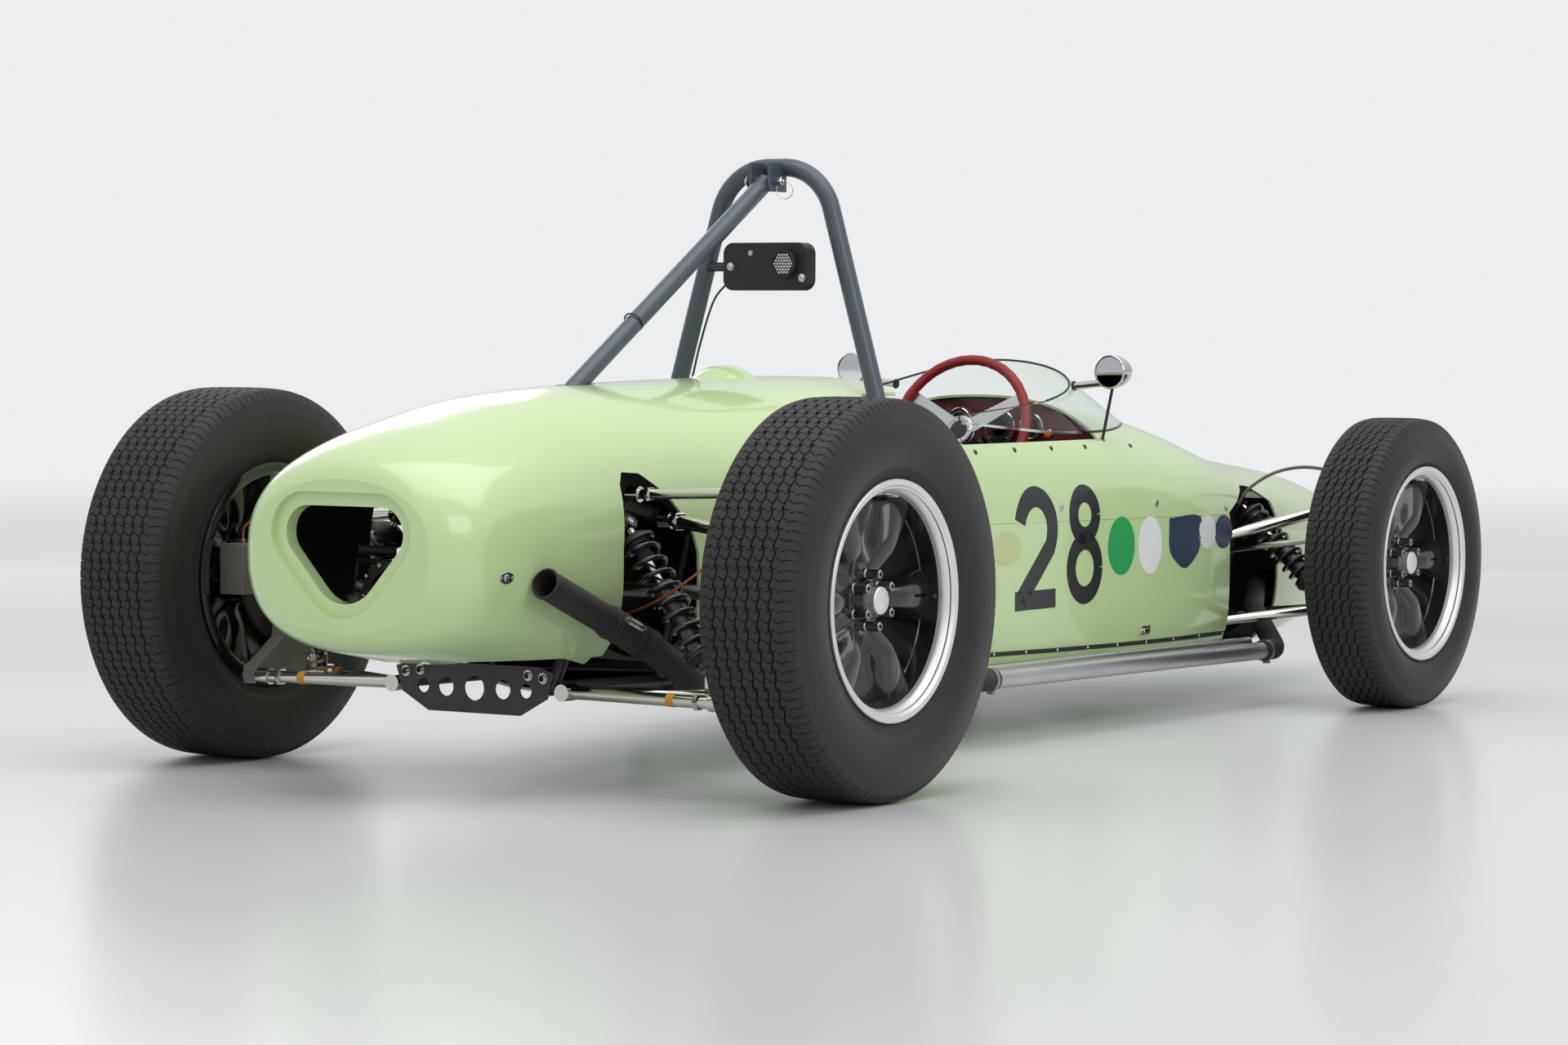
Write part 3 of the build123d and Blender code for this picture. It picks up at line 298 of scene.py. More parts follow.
def welded(mesh, distance, closed=True):
    """Near places made one; then faces turned outwards, or loose places of an open skin cut."""
    work = bmesh.new()
    work.from_mesh(mesh)
    bmesh.ops.remove_doubles(work, verts=work.verts, dist=distance)
    if closed:
        bmesh.ops.recalc_face_normals(work, faces=work.faces)
    else:
        loose = [v for v in work.verts if not v.link_faces]
        bmesh.ops.delete(work, geom=loose, context="VERTS")
    work.to_mesh(mesh)
    work.free()
    smoothed(mesh)


def piece(name, marked, finishes, body, replaces=(), angle=35):
    """One mesh from (part, finish number) pairs, closed up and facing outwards."""
    points, loops = joined([part for part, _ in marked])
    marks = np.concatenate([np.full(len(part[1]), mark) for part, mark in marked])
    mesh = bpy.data.meshes.new(name)
    mesh.vertices.add(len(points))
    mesh.vertices.foreach_set("co", (points * MM).astype(np.float32).ravel())
    mesh.loops.add(loops.size)
    mesh.loops.foreach_set("vertex_index", loops.astype(np.int32).ravel())
    mesh.polygons.add(len(loops))
    mesh.polygons.foreach_set("loop_start", (np.arange(len(loops)) * 4).astype(np.int32))
    mesh.polygons.foreach_set("material_index", marks.astype(np.int32))
    mesh.update(calc_edges=True)
    welded(mesh, 2e-6)
    mesh.set_sharp_from_angle(angle=math.radians(angle))
    for finish in finishes:
        mesh.materials.append(finish)
    thing = linked(name, mesh)
    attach(thing, body)
    if replaces:
        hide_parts(*replaces)
    return thing


# Effects shared by the finishes

def feed(tree, socket, value):
    """A socket fed by another one or by a constant."""
    if isinstance(value, bpy.types.NodeSocket):
        tree.links.new(value, socket)
    else:
        socket.default_value = value


def added(tree, kind, inputs=(), **settings):
    """A node with its settings, and its inputs fed by name or number."""
    node = tree.nodes.new("ShaderNode" + kind)
    for label, value in settings.items():
        setattr(node, label, value)
    for label, value in dict(inputs).items():
        feed(tree, node.inputs[label], value)
    return node


def maths(tree, operation, *values, clamp=False):
    """The result of a maths node fed by sockets or numbers."""
    node = added(tree, "Math", enumerate(values), operation=operation, use_clamp=clamp)
    return node.outputs[0]


def noise_at(tree, scale, detail=5.0):
    """Noise on the object's own coordinates."""
    place = added(tree, "TexCoord").outputs["Object"]
    given = {"Vector": place, "Scale": scale, "Detail": detail}
    return added(tree, "TexNoise", given).outputs["Fac"]


def mixed(tree, share, first, second):
    """A mix of two colours by a share."""
    return added(tree, "Mix", {0: share, 6: first, 7: second}, data_type="RGBA").outputs[2]


def normal_of(tree):
    """The surface's true normal."""
    return added(tree, "NewGeometry").outputs["Normal"]


def mottle_nodes(tree, given):
    """Colour that drifts between two shades, by noise spread by a contrast."""
    raw = maths(tree, "SUBTRACT", noise_at(tree, given["Scale"]), 0.5)
    spread = maths(tree, "MULTIPLY", raw, given["Contrast"])
    mask = maths(tree, "ADD", spread, 0.5, clamp=True)
    return {"Colour": mixed(tree, mask, given["Colour"], given["Tint"]), "Mask": mask}


def wear_nodes(tree, given):
    """Edges worn where the softened normal leaves the true one, broken up by noise."""
    soft = added(tree, "Bevel", {"Radius": edge_width}, samples=4).outputs[0]
    dot = added(tree, "VectorMath", {0: soft, 1: normal_of(tree)}, operation="DOT_PRODUCT")
    edge = maths(tree, "SUBTRACT", 1.0, dot.outputs["Value"])
    broken = maths(tree, "MULTIPLY", noise_at(tree, given["Scale"]), 6.0)
    rough = maths(tree, "MULTIPLY", edge, broken)
    return {"Mask": maths(tree, "MULTIPLY", rough, given["Amount"], clamp=True)}


def grain_nodes(tree, given):
    """A fine surface height: one noise with a finer one on it."""
    finer = maths(tree, "MULTIPLY", given["Scale"], 3.1)
    fine = maths(tree, "MULTIPLY", noise_at(tree, finer, 2.0), 0.4)
    return {"Height": maths(tree, "ADD", noise_at(tree, given["Scale"], 3.0), fine)}


def rings_nodes(tree, given):
    """Turned rings round an axle along Y: sine of the distance from it, over a pitch."""
    place = added(tree, "TexCoord").outputs["Object"]
    away = added(tree, "VectorMath", {0: place, 1: given["Centre"]}, operation="SUBTRACT")
    parts = added(tree, "SeparateXYZ", {0: away.outputs[0]}).outputs
    squares = [maths(tree, "MULTIPLY", parts[k], parts[k]) for k in (0, 2)]
    distance = maths(tree, "SQRT", maths(tree, "ADD", *squares))
    turns = maths(tree, "DIVIDE", distance, given["Pitch"])
    return {"Height": maths(tree, "SINE", maths(tree, "MULTIPLY", turns, 2 * math.pi))}


def dust_nodes(tree, given):
    """Dust on what faces up: the normal's height over a limit, broken up by noise."""
    height = added(tree, "SeparateXYZ", {0: normal_of(tree)}).outputs[2]
    facing_up = maths(tree, "ADD", maths(tree, "MULTIPLY", height, 0.6), 0.4, clamp=True)
    broken = maths(tree, "MULTIPLY", noise_at(tree, given["Scale"], 8.0), facing_up)
    return {"Mask": maths(tree, "MULTIPLY", broken, given["Amount"], clamp=True)}


def new_group(name, make, **inputs):
    """A shader group: its inputs are named values, and make gives its outputs' sockets."""
    group = bpy.data.node_groups.new(name, "ShaderNodeTree")
    kinds = {3: "NodeSocketVector", 4: "NodeSocketColor"}
    for label, value in inputs.items():
        kind = kinds[len(value)] if isinstance(value, tuple) else "NodeSocketFloat"
        socket = group.interface.new_socket(name=label, in_out="INPUT", socket_type=kind)
        socket.default_value = value
    results = make(group, group.nodes.new("NodeGroupInput").outputs)
    for label in results:
        kind = "NodeSocketColor" if label == "Colour" else "NodeSocketFloat"
        group.interface.new_socket(name=label, in_out="OUTPUT", socket_type=kind)
    end = group.nodes.new("NodeGroupOutput")
    for label, socket in results.items():
        feed(group, end.inputs[label], socket)
    return group


edge_width, bump_depth = 0.0025, 0.0006
mottle = new_group("mottle", mottle_nodes, Colour=(1, 1, 1, 1), Tint=(0, 0, 0, 1), Scale=6.0,
                   Contrast=1.0)
wear = new_group("edge_wear", wear_nodes, Amount=1.0, Scale=60.0)
grain = new_group("grain", grain_nodes, Scale=300.0)
rings = new_group("rings", rings_nodes, Centre=(0, 0, 0), Pitch=0.001)
dust = new_group("dust", dust_nodes, Amount=0.2, Scale=14.0)


def srgb(*channels):
    """A colour as the eye reads it, 0 to 255, made linear."""
    return tuple(((c / 255 + 0.055) / 1.055) ** 2.4 if c > 10 else c / 255 / 12.92
                 for c in channels) + (1.0,)


def use(tree, group, **values):
    """The outputs of a shared effect placed in a material with its own values."""
    return added(tree, "Group", values, node_tree=group).outputs


dust_colour = srgb(150, 145, 136)


def make_finish(name, colour, tint, roughness, metallic=0.0, drift=6.0, contrast=1.2,
                rough_drift=0.08, worn=None, wear_amount=1.0, grain_scale=400.0, bump=0.08,
                dusty=0.0, coat=0.0, ring=None, **sockets):
    """A finish: drifting colour, worn edges, dust, uneven gloss and a fine surface."""
    material = bpy.data.materials.new(name)
    material.use_nodes = True
    tree = material.node_tree
    shade = use(tree, mottle, Colour=srgb(*colour), Tint=srgb(*tint), Scale=drift,
                Contrast=contrast)
    now = shade["Colour"]
    if worn:
        now = mixed(tree, use(tree, wear, Amount=wear_amount)["Mask"], now, srgb(*worn))
    if dusty:
        now = mixed(tree, use(tree, dust, Amount=dusty)["Mask"], now, dust_colour)
    gloss = maths(tree, "MULTIPLY", shade["Mask"], rough_drift)
    height = use(tree, grain, Scale=grain_scale)["Height"]
    if ring:
        turned_height = use(tree, rings, Centre=ring[0], Pitch=ring[1])["Height"]
        height = maths(tree, "ADD", height, turned_height)
    uneven = added(tree, "Bump", {"Strength": bump, "Distance": bump_depth, "Height": height})
    given = {"Base Color": now, "Roughness": maths(tree, "ADD", gloss, roughness, clamp=True),
             "Normal": uneven.outputs[0], "Metallic": metallic, "Coat Weight": coat,
             "Coat Roughness": 0.04}
    given.update((label.replace("_", " "), value) for label, value in sockets.items())
    for label, value in given.items():
        feed(tree, tree.nodes["Principled BSDF"].inputs[label], value)
    return material


paint = make_finish("pale_green_paint", (192, 216, 158), (187, 212, 152), 0.2,
                    drift=3.0, rough_drift=0.05, grain_scale=900, bump=0.015, coat=0.7,
                    dusty=0.05)
number_black = make_finish("number_black", (14, 15, 18), (22, 23, 26), 0.28,
                           grain_scale=700, bump=0.03, coat=0.2)
frame_black = make_finish("frame_black", (20, 20, 21), (30, 30, 31), 0.38,
                          worn=(92, 90, 88), wear_amount=0.5, dusty=0.25, coat=0.15)
wheel_black = make_finish("wheel_black", (7, 7, 8), (13, 13, 14), 0.16,
                          drift=9.0, bump=0.03, coat=0.8, dusty=0.05)
hoop_grey = make_finish("hoop_grey", (60, 69, 79), (68, 77, 87), 0.34,
                        worn=(120, 124, 128), wear_amount=0.35, coat=0.3, bump=0.05)
chrome = make_finish("chrome", (218, 216, 210), (196, 193, 186), 0.08, 1.0,
                     drift=12.0, rough_drift=0.1, bump=0.02)
steel = make_finish("bright_steel", (176, 172, 166), (140, 136, 130), 0.24, 1.0,
                    drift=20.0, rough_drift=0.2, bump=0.1)
alloy = make_finish("polished_alloy", (205, 206, 206), (180, 181, 182), 0.24, 1.0,
                    drift=8.0, rough_drift=0.16, bump=0.06)
cast_grey = make_finish("cast_alloy", (140, 139, 134), (112, 111, 107), 0.5, 0.7,
                        drift=18.0, grain_scale=260, bump=0.35, dusty=0.3,
                        worn=(186, 184, 178), wear_amount=0.7)
cast_black = make_finish("cast_black", (24, 24, 24), (38, 37, 35), 0.5, 0.2,
                         drift=16.0, grain_scale=240, bump=0.3, dusty=0.3,
                         worn=(80, 78, 74), wear_amount=0.6)
iron = make_finish("disc_iron", (120, 116, 112), (84, 78, 74), 0.35, 0.9,
                   drift=14.0, rough_drift=0.2, bump=0.12)
pipe_black = make_finish("exhaust_black", (40, 38, 37), (58, 52, 48), 0.62, 0.3,
                         drift=10.0, contrast=2.2, grain_scale=300, bump=0.25, dusty=0.15)
rubber = make_finish("black_rubber", (22, 22, 23), (34, 33, 33), 0.6,
                     drift=12.0, grain_scale=500, bump=0.15, dusty=0.2)
tyre_tread = make_finish("tyre_tread", (20, 20, 21), (30, 30, 30), 0.62,
                         drift=7.0, contrast=1.8, grain_scale=700, bump=0.3, dusty=0.07)
lamp_black = make_finish("lamp_black", (18, 18, 19), (26, 26, 27), 0.4,
                         grain_scale=800, bump=0.2, worn=(60, 60, 60), wear_amount=0.3)
leather_red = make_finish("leather_red", (150, 28, 24), (120, 18, 17), 0.42,
                          drift=30.0, grain_scale=950, bump=0.5, worn=(176, 60, 50),
                          wear_amount=0.2)
dash_wine = make_finish("dash_wine", (98, 30, 38), (84, 24, 32), 0.35,
                        drift=8.0, bump=0.04, coat=0.3)
seat_black = make_finish("seat_black", (26, 26, 27), (40, 39, 38), 0.55,
                         drift=14.0, grain_scale=850, bump=0.5, dusty=0.2)
dial_face = make_finish("dial_face", (10, 10, 11), (16, 16, 17), 0.45, bump=0.05)
dial_white = make_finish("dial_white", (232, 230, 220), (220, 218, 206), 0.5, bump=0.02)
dial_red = make_finish("dial_red", (200, 36, 24), (180, 30, 20), 0.4, bump=0.02)
copper = make_finish("copper_pipe", (186, 118, 82), (146, 88, 60), 0.3, 1.0,
                     drift=20.0, rough_drift=0.2, bump=0.06)
yellow_band = make_finish("yellow_band", (214, 150, 40), (190, 128, 30), 0.5, bump=0.1)
mirror_glass = make_finish("mirror_glass", (226, 228, 230), (220, 222, 226), 0.01, 1.0,
                           rough_drift=0.01, bump=0.0)
amber = make_finish("amber_lens", (240, 120, 20), (220, 96, 12), 0.15, coat=0.8,
                    bump=0.02)
led_lens = make_finish("led_lens", (206, 202, 200), (176, 168, 166), 0.14, coat=0.8,
                       bump=0.02)
clear = make_finish("clear_sheet", (248, 251, 250), (244, 249, 247), 0.02, drift=5.0,
                    rough_drift=0.03, grain_scale=900, bump=0.01, Transmission_Weight=1.0,
                    IOR=1.15)

node_finishes = [
    (paint, "side_panel_left side_panel_right floor_pan front_body tail_cover"),
    (clear, "windscreen"), (hoop_grey, "roll_hoop"), (lamp_black, "rain_light"),
    (frame_black, "chassis_frame rear_crossmember"), (seat_black, "seat"),
    (dash_wine, "dash_panel"), (pipe_black, "exhaust"), (alloy, "coolant_pipes"),
    (rubber, "coolant_hoses"), (cast_black, "gearbox radiator"),
    (steel, "rack_bar driveshaft_left driveshaft_right"),
    (chrome, "tie_rods front_wishbones rear_links"),
    (cast_grey, "rack_housing engine front_upright_left front_upright_right rear_uprights "
                "rear_callipers"),
    (iron, "brake_disc_front_left brake_disc_front_right brake_disc_rear_left "
           "brake_disc_rear_right"),
]
for finish, labels in node_finishes:
    for label in labels.split():
        mesh = nodes[label].data
        mesh.materials.clear()
        mesh.materials.append(finish)


# Wheels and tyres

lip_radius, bead_radius, barrel_radius = 208.0, 192.0, 184.0
lug_count, lug_circle, lip_depth = 6, 44.5, 27.0
ends = {
    "front": (front_axle,
              dict(rim=146.0, cap_depth=30.0, hub_end=-59.7, bore=17.05, bore_depth=66.0),
              dict(tyre_radius=311.0, tyre_width=165.0, ribs=6, pitches=58)),
    "rear": (rear_axle,
             dict(rim=178.0, cap_depth=28.0, hub_end=-133.7, bore=0.0, bore_depth=0.0),
             dict(tyre_radius=346.0, tyre_width=206.0, ribs=7, pitches=64)),
}


def wavy_web(middle):
    """The wheel's web: height = middle + rise(r) wave(6 a), the wave flattened at its crests.

    rise grows from nothing near the hub by a smooth step, and both faces follow it.
    """
    angle = np.linspace(0, 2 * np.pi, 216, endpoint=False)[:, None]
    radius = np.array([[22, 34, 46, 54, 62, 72, 84, 98, 114, 130, 146, 160, 172, 180, 185.5]])
    step = np.clip((radius - 48) / 62, 0, 1)
    rise = 21 * step * step * (3 - 2 * step)
    wave = np.tanh(1.7 * np.cos(lug_count * angle)) / math.tanh(1.7)
    crown = 5 * np.sin(np.pi * np.clip((radius - 40) / 150, 0, 1)) * np.clip(wave, 0, 1)
    front = middle + 9 + rise * wave + crown
    back = middle - 3 + rise * wave * 0.92
    height = np.concatenate([front, back[:, ::-1]], 1)
    both = np.concatenate([radius, radius[:, ::-1]], 1)
    return grid(polar(both, angle, height), True, True)


def wheel_parts(rim, cap_depth, hub_end, bore, bore_depth):
    """Barrel, silver lip, wavy web, six long nuts, centre cap and hub, about Z."""
    half = rim / 2
    cap_top = half - cap_depth
    middle = cap_top - 48
    lip = turned([
        (bead_radius, half - 6), (lip_radius - 2, half - 6), (lip_radius, half - 5),
        (lip_radius, half - 1.5), (lip_radius - 1.5, half), (lip_radius - 7, half),
        (lip_radius - 10, half - 1), (195, half - 5.5), (190, half - 10),
        (barrel_radius + 2, half - 16), (barrel_radius + 0.6, half - 20),
        (barrel_radius, half - lip_depth)], 144)
    barrel = turned([
        (barrel_radius, half - lip_depth), (barrel_radius, half - 60),
        (barrel_radius - 1.5, half - 62), (barrel_radius - 1.5, -half + 40),
        (barrel_radius, -half + 38), (barrel_radius, -half + 2),
        (barrel_radius + 3, -half), (lip_radius - 1, -half), (lip_radius, -half + 1.5),
        (lip_radius, -half + 5), (lip_radius - 1, -half + 6), (bead_radius, -half + 6),
        (bead_radius, half - 6)], 144)
    hub = [(0, hub_end + bore_depth), (bore, hub_end + bore_depth), (bore, hub_end)]
    hub += [(60, hub_end), (62, hub_end + 2), (62, middle - 6), (58, middle)]
    hub += [(58, middle + 7), (36, middle + 12), (30, middle + 26), (0, middle + 26)]
    cap = turned([
        (0, middle + 20), (22.5, middle + 20), (22.5, cap_top - 9), (24, cap_top - 8.4),
        (24, cap_top - 3), (21.5, cap_top - 0.6), (20.5, cap_top - 0.6), (19.5, cap_top),
        (0, cap_top)], 64)
    rod = joined([
        turned([(0, middle), (9.2, middle), (9.2, middle + 16), (7.4, middle + 18),
                (0, middle + 18)], 20),
        spun(hex_nut(8.4, cap_top - 4 - middle - 17), 0, (0, 0, middle + 17))])
    angles = (np.arange(lug_count) + 0.5) * 2 * np.pi / lug_count
    weights = joined([stick_on_weights(half, math.radians(90 + k)) for k in (-13, 1)])
    valve = put(turned([(0, 0), (4.2, 0), (3.4, 12), (4.0, 13), (4.0, 24), (0, 25)], 16),
                (barrel_radius - 1, 0, half - 34), (-1, 0, 0.6))
    return [(lip, 1), (barrel, 0), (wavy_web(middle), 0), (turned(hub, 72), 0), (cap, 1),
            (repeated(rod, on_circle(lug_circle, angles)), 2), (weights, 1), (valve, 3)]


def stick_on_weights(half, angle):
    """Four square balance weights in a row stuck inside the barrel."""
    ways = [np.array([math.cos(a), math.sin(a), 0]) for a in angle + 0.108 * np.arange(4)]
    places = [facing(way * (barrel_radius - 1.8) + (0, 0, half - 36), -way) for way in ways]
    return repeated(box_part((-9, -9, -1.6), (9, 9, 1.6), 1.0), places)


def tread_layout(half_tread, ribs):
    """Lines across the tread: place, depth, and whether each of a pitch's two slits cuts it.

    Each groove has its two top edges and two bottom edges, and each rib two lines inside.
    """
    width = 2 * half_tread / ribs
    lines = []
    for k in range(ribs):
        left = -half_tread + k * width
        low, high = left + (2.1 if k else 0), left + width - (2.1 if k < ribs - 1 else 0)
        span = high - low
        lines += [(low, 0, 1, 0), (low + span * 0.34, 0, 1, 1), (low + span * 0.66, 0, 1, 1),
                  (high, 0, 0, 1)]
        if k < ribs - 1:
            lines += [(high + 0.8, 5, 0, 0), (left + width + 1.3, 5, 0, 0)]
    return np.array(lines, float)


def tyre_part(tyre_radius, tyre_width, rim, ribs, pitches):
    """A tyre about Z, one closed grid of a turned outline.

    Round the tyre the lines come twelve to a pitch, with two slits in each. Across it the
    grooves swing by swing sin(p) + sin(2 p) / 3, and the slits lean with the place across.
    """
    half, bead = tyre_width / 2, rim / 2 - 6.3
    half_tread = half - 26
    wall, shoulder = lip_radius + 1, tyre_radius - 30
    layout = tread_layout(half_tread, ribs)
    crown = tyre_radius - 2.4 * (layout[:, 0] / half_tread) ** 4
    edge = [(tyre_radius - 4.2, half_tread + 6.5), (tyre_radius - 8.5, half_tread + 10.8),
            (tyre_radius - 15, half_tread + 14.8), (tyre_radius - 22.5, half_tread + 17.6),
            (shoulder, half - 7)]
    bulge = (wall + tyre_radius) / 2 - 6
    side = arc_through((shoulder, half - 7), (bulge, half), (wall, bead), 17)[1:]
    ridge = np.zeros(len(side))
    ridge[-4] = 1.6
    ridge[3] = 0.9
    side[:, 1] += -ridge * 0.6
    foot = [(wall - 2, bead), (bead_radius + 0.15, bead - 1.5)]
    right = np.concatenate([edge, side, foot])
    left = right[::-1] * (1, -1)
    outline = np.concatenate([left, np.stack([crown, layout[:, 0]], -1), right])
    lines = len(outline)
    first, last = len(left), len(left) + len(layout)
    depth, slit_a, slit_b, swing = (np.zeros(lines) for _ in range(4))
    depth[first:last], slit_a[first:last], slit_b[first:last] = layout[:, 1:].T
    swing[first:last] = np.clip((half_tread - np.abs(layout[:, 0])) / 8, 0, 1)
    near = [first - k for k in (1, 2, 3)] + [last + k for k in (0, 1, 2)]
    slit_a[near], slit_b[near] = 1, 0.55
    steps = np.array([
        (-0.034, 0, 0), (-0.02, 1, 0), (0.02, 1, 0), (0.034, 0, 0), (0.15, 0, 0), (0.3, 0, 0),
        (0.466, 0, 0), (0.48, 0, 1), (0.52, 0, 1), (0.534, 0, 0), (0.68, 0, 0), (0.84, 0, 0)])
    phase = (np.arange(pitches)[:, None] + steps[:, 0]).ravel()[:, None]
    cut_a, cut_b = (np.tile(steps[:, k], pitches)[:, None] for k in (1, 2))
    wave = np.sin(2 * np.pi * phase) + np.sin(4 * np.pi * phase) / 3
    across = outline[None, :, 1] + 2.6 * swing[None] * wave
    rib = outline[:, 1] / (2 * half_tread / ribs)
    lean = np.where(np.abs(outline[:, 1]) < half_tread, 0.11 * np.sin(2 * np.pi * rib), 0)
    angle = (phase + lean[None]) * 2 * np.pi / pitches
    deep = np.maximum(depth[None], 3.4 * np.maximum(cut_a * slit_a[None], cut_b * slit_b[None]))
    radius = outline[None, :, 0] - deep
    return grid(polar(radius, angle, across), True, True)


def arc_through(start, middle, end, count):
    """Points on the circle through three points."""
    (ax, ay), (bx, by), (cx, cy) = start, middle, end
    d = 2 * (ax * (by - cy) + bx * (cy - ay) + cx * (ay - by))
    a2, b2, c2 = ax * ax + ay * ay, bx * bx + by * by, cx * cx + cy * cy
    ux = (a2 * (by - cy) + b2 * (cy - ay) + c2 * (ay - by)) / d
    uy = (a2 * (cx - bx) + b2 * (ax - cx) + c2 * (bx - ax)) / d
    turn = np.unwrap([math.atan2(y - uy, x - ux) for x, y in (start, middle, end)])
    a = np.linspace(turn[0], turn[2], count)
    r = math.hypot(ax - ux, ay - uy)
    return np.stack([ux + r * np.cos(a), uy + r * np.sin(a)], -1)


for end, (axle, wheel_size, tyre_size) in ends.items():
    centre = tuple(axle * MM)
    lip_finish = make_finish(f"machined_lip_{end}", (236, 236, 234), (222, 222, 220), 0.34,
                             0.75, drift=10.0, rough_drift=0.1, bump=0.15,
                             ring=(centre, 0.0009))
    wall_finish = make_finish(f"tyre_wall_{end}", (17, 17, 18), (24, 24, 24), 0.42, drift=6.0,
                              contrast=1.6, grain_scale=600, bump=0.12, dusty=0.06,
                              ring=(centre, 0.0042))
    shape = wheel_parts(**wheel_size)
    tyre = tyre_part(rim=wheel_size["rim"], **tyre_size)
    height = tyre[0][tyre[1]].mean(1)[:, 2]
    is_tread = np.abs(height) < tyre_size["tyre_width"] / 2 - 10
    for side, label in ((1, "left"), (-1, "right")):
        turn = facing(axle * (1, side, 1), (0, side, 0), (0, 0, -side))
        body = f"{end}_wheel_{label}"
        piece(f"wheel_{end}_{label}_finished", [(placed(part, turn), mark) for part, mark in shape],
              [wheel_black, lip_finish, steel, rubber], body,
              [f"wheel_{end}_{label}"])
        points, faces = placed(tyre, turn)
        piece(f"tyre_{end}_{label}_treaded",
              [((points, faces[is_tread]), 0), ((points, faces[~is_tread]), 1)],
              [tyre_tread, wall_finish], body, [f"tyre_{end}_{label}"], 28)


# Spring and damper units

def coil_unit(top, bottom):
    """A damper with a helix spring round it: point = (r cos a, r sin a, pitch a / 2 pi)."""
    a, b = np.asarray(top, float), np.asarray(bottom, float)
    length = np.linalg.norm(b - a)
    low, high, turns = 44.0, length - 56, 9.0
    angle = np.linspace(0, 2 * np.pi * turns, int(turns * 22))
    flat = np.clip(np.minimum(angle, angle[-1] - angle) / 4.5, 0, 1)
    rise = np.cumsum(flat)
    rise = low + (high - low) * rise / rise[-1]
    parts = [
        (tube(polar(28.2, angle, rise), 4.6, sides=10), 0),
        (turned([(0, length - 22), (15, length - 22), (20, length - 27), (20, length * 0.4),
                 (18.5, length * 0.4 - 2), (12, length * 0.4 - 4), (0, length * 0.4 - 4)], 32), 0),
        (turned([(0, 26), (17, 26), (32, 36), (33, 38), (33, 42), (22, 42), (20, 48),
                 (0, 48)], 40), 1),
        (turned([(20, length - 58), (33, length - 52), (33, length - 47), (30, length - 45),
                 (26, length - 36), (20, length - 36)], 40, True), 1),
        (disc(7, 8, length * 0.42), 2),
        (turned([(7, 50), (14, 50), (16, 58), (12, 64), (16, 70), (13, 80), (7, 80)], 24,
                True), 3),
        (disc(9, length - 24, length - 10), 0)]
    lie = np.eye(4)
    lie[:3, :3] = [[0, 0, 1], [0, 1, 0], [-1, 0, 0]]
    for part, mark in ((sleeve(8, 14, -12, 12, 28), 0), (disc(7, -12.2, 12.2), 2)):
        parts += [(spun(placed(part, lie), 0, (0, 0, z)), mark) for z in (0, length)]
    place = facing(a, b - a, (1, 0, 0))
    return [(placed(part, place), mark) for part, mark in parts]


spring_black = make_finish("spring_black", (14, 14, 15), (24, 24, 25), 0.24, bump=0.05,
                           coat=0.5, dusty=0.12)
coil_ends = {
    "front_coilovers": ((front_x + 24, 245, 430), (front_x + 24, 455, 232)),
    "rear_coilovers": ((rear_x - 60, 250, 466), (rear_x - 60, 440, 201)),
}
for label, (top, bottom) in coil_ends.items():
    marked = [(both_sides(part), mark) for part, mark in coil_unit(top, bottom)]
    piece(f"{label}_wound", marked, [spring_black, cast_black, chrome, rubber], "chassis",
          [label])


# Steering wheel, dash and screen

hub_place = joint_at["steering_column"]
column_tilt = math.radians(19.8)
wheel_turn = facing(hub_place, (-math.cos(column_tilt), 0, math.sin(column_tilt)), (0, 0, -1))
rim_circle, spoke_angles = 155.0, (90, 210, 330)


def steering_parts():
    """Leather rim, three tapered spokes, turned hub with a plain boss, and the column."""
    path = circle(rim_circle, 144)
    grip = 10.6 + 0.35 * np.cos(36 * np.linspace(0, 2 * np.pi, 144, endpoint=False))
    edge = [(22, -17), (60, -15.5), (110, -13.5), (147, -12.5), (151, -9), (152, 0)]
    blade = edge + [(x, -y) for x, y in edge[-2::-1]]
    spoke = spun(plate(blade, 3.6), 0, (0, 0, -6))
    hub = turned([
        (0, -29), (24, -29), (31, -24), (31, -9), (29.5, -8), (29.5, 1), (31, 2), (31, 4),
        (28, 5), (26, 4.2), (0, 4.2)], 64)
    boss = turned([(0, 3.6), (20, 3.6), (20, 4.6), (16, 5.0), (0, 5.0)], 48)
    screws = on_circle(23.6, np.arange(6) * math.pi / 3, 4.4, turn=False)
    return [(tube(path, grip, sides=20, closed=True), 0),
            (repeated(spoke, [turned_by(math.radians(a)) for a in spoke_angles]), 1), (hub, 1),
            (boss, 2), (disc(11, -600, -28, 28), 3), (repeated(dome(2.6, 1.6), screws), 4)]


piece("steering_wheel_trimmed", [(placed(p, wheel_turn), m) for p, m in steering_parts()],
      [leather_red, alloy, number_black, steel, chrome], "steering_wheel",
      ["steering_wheel"])


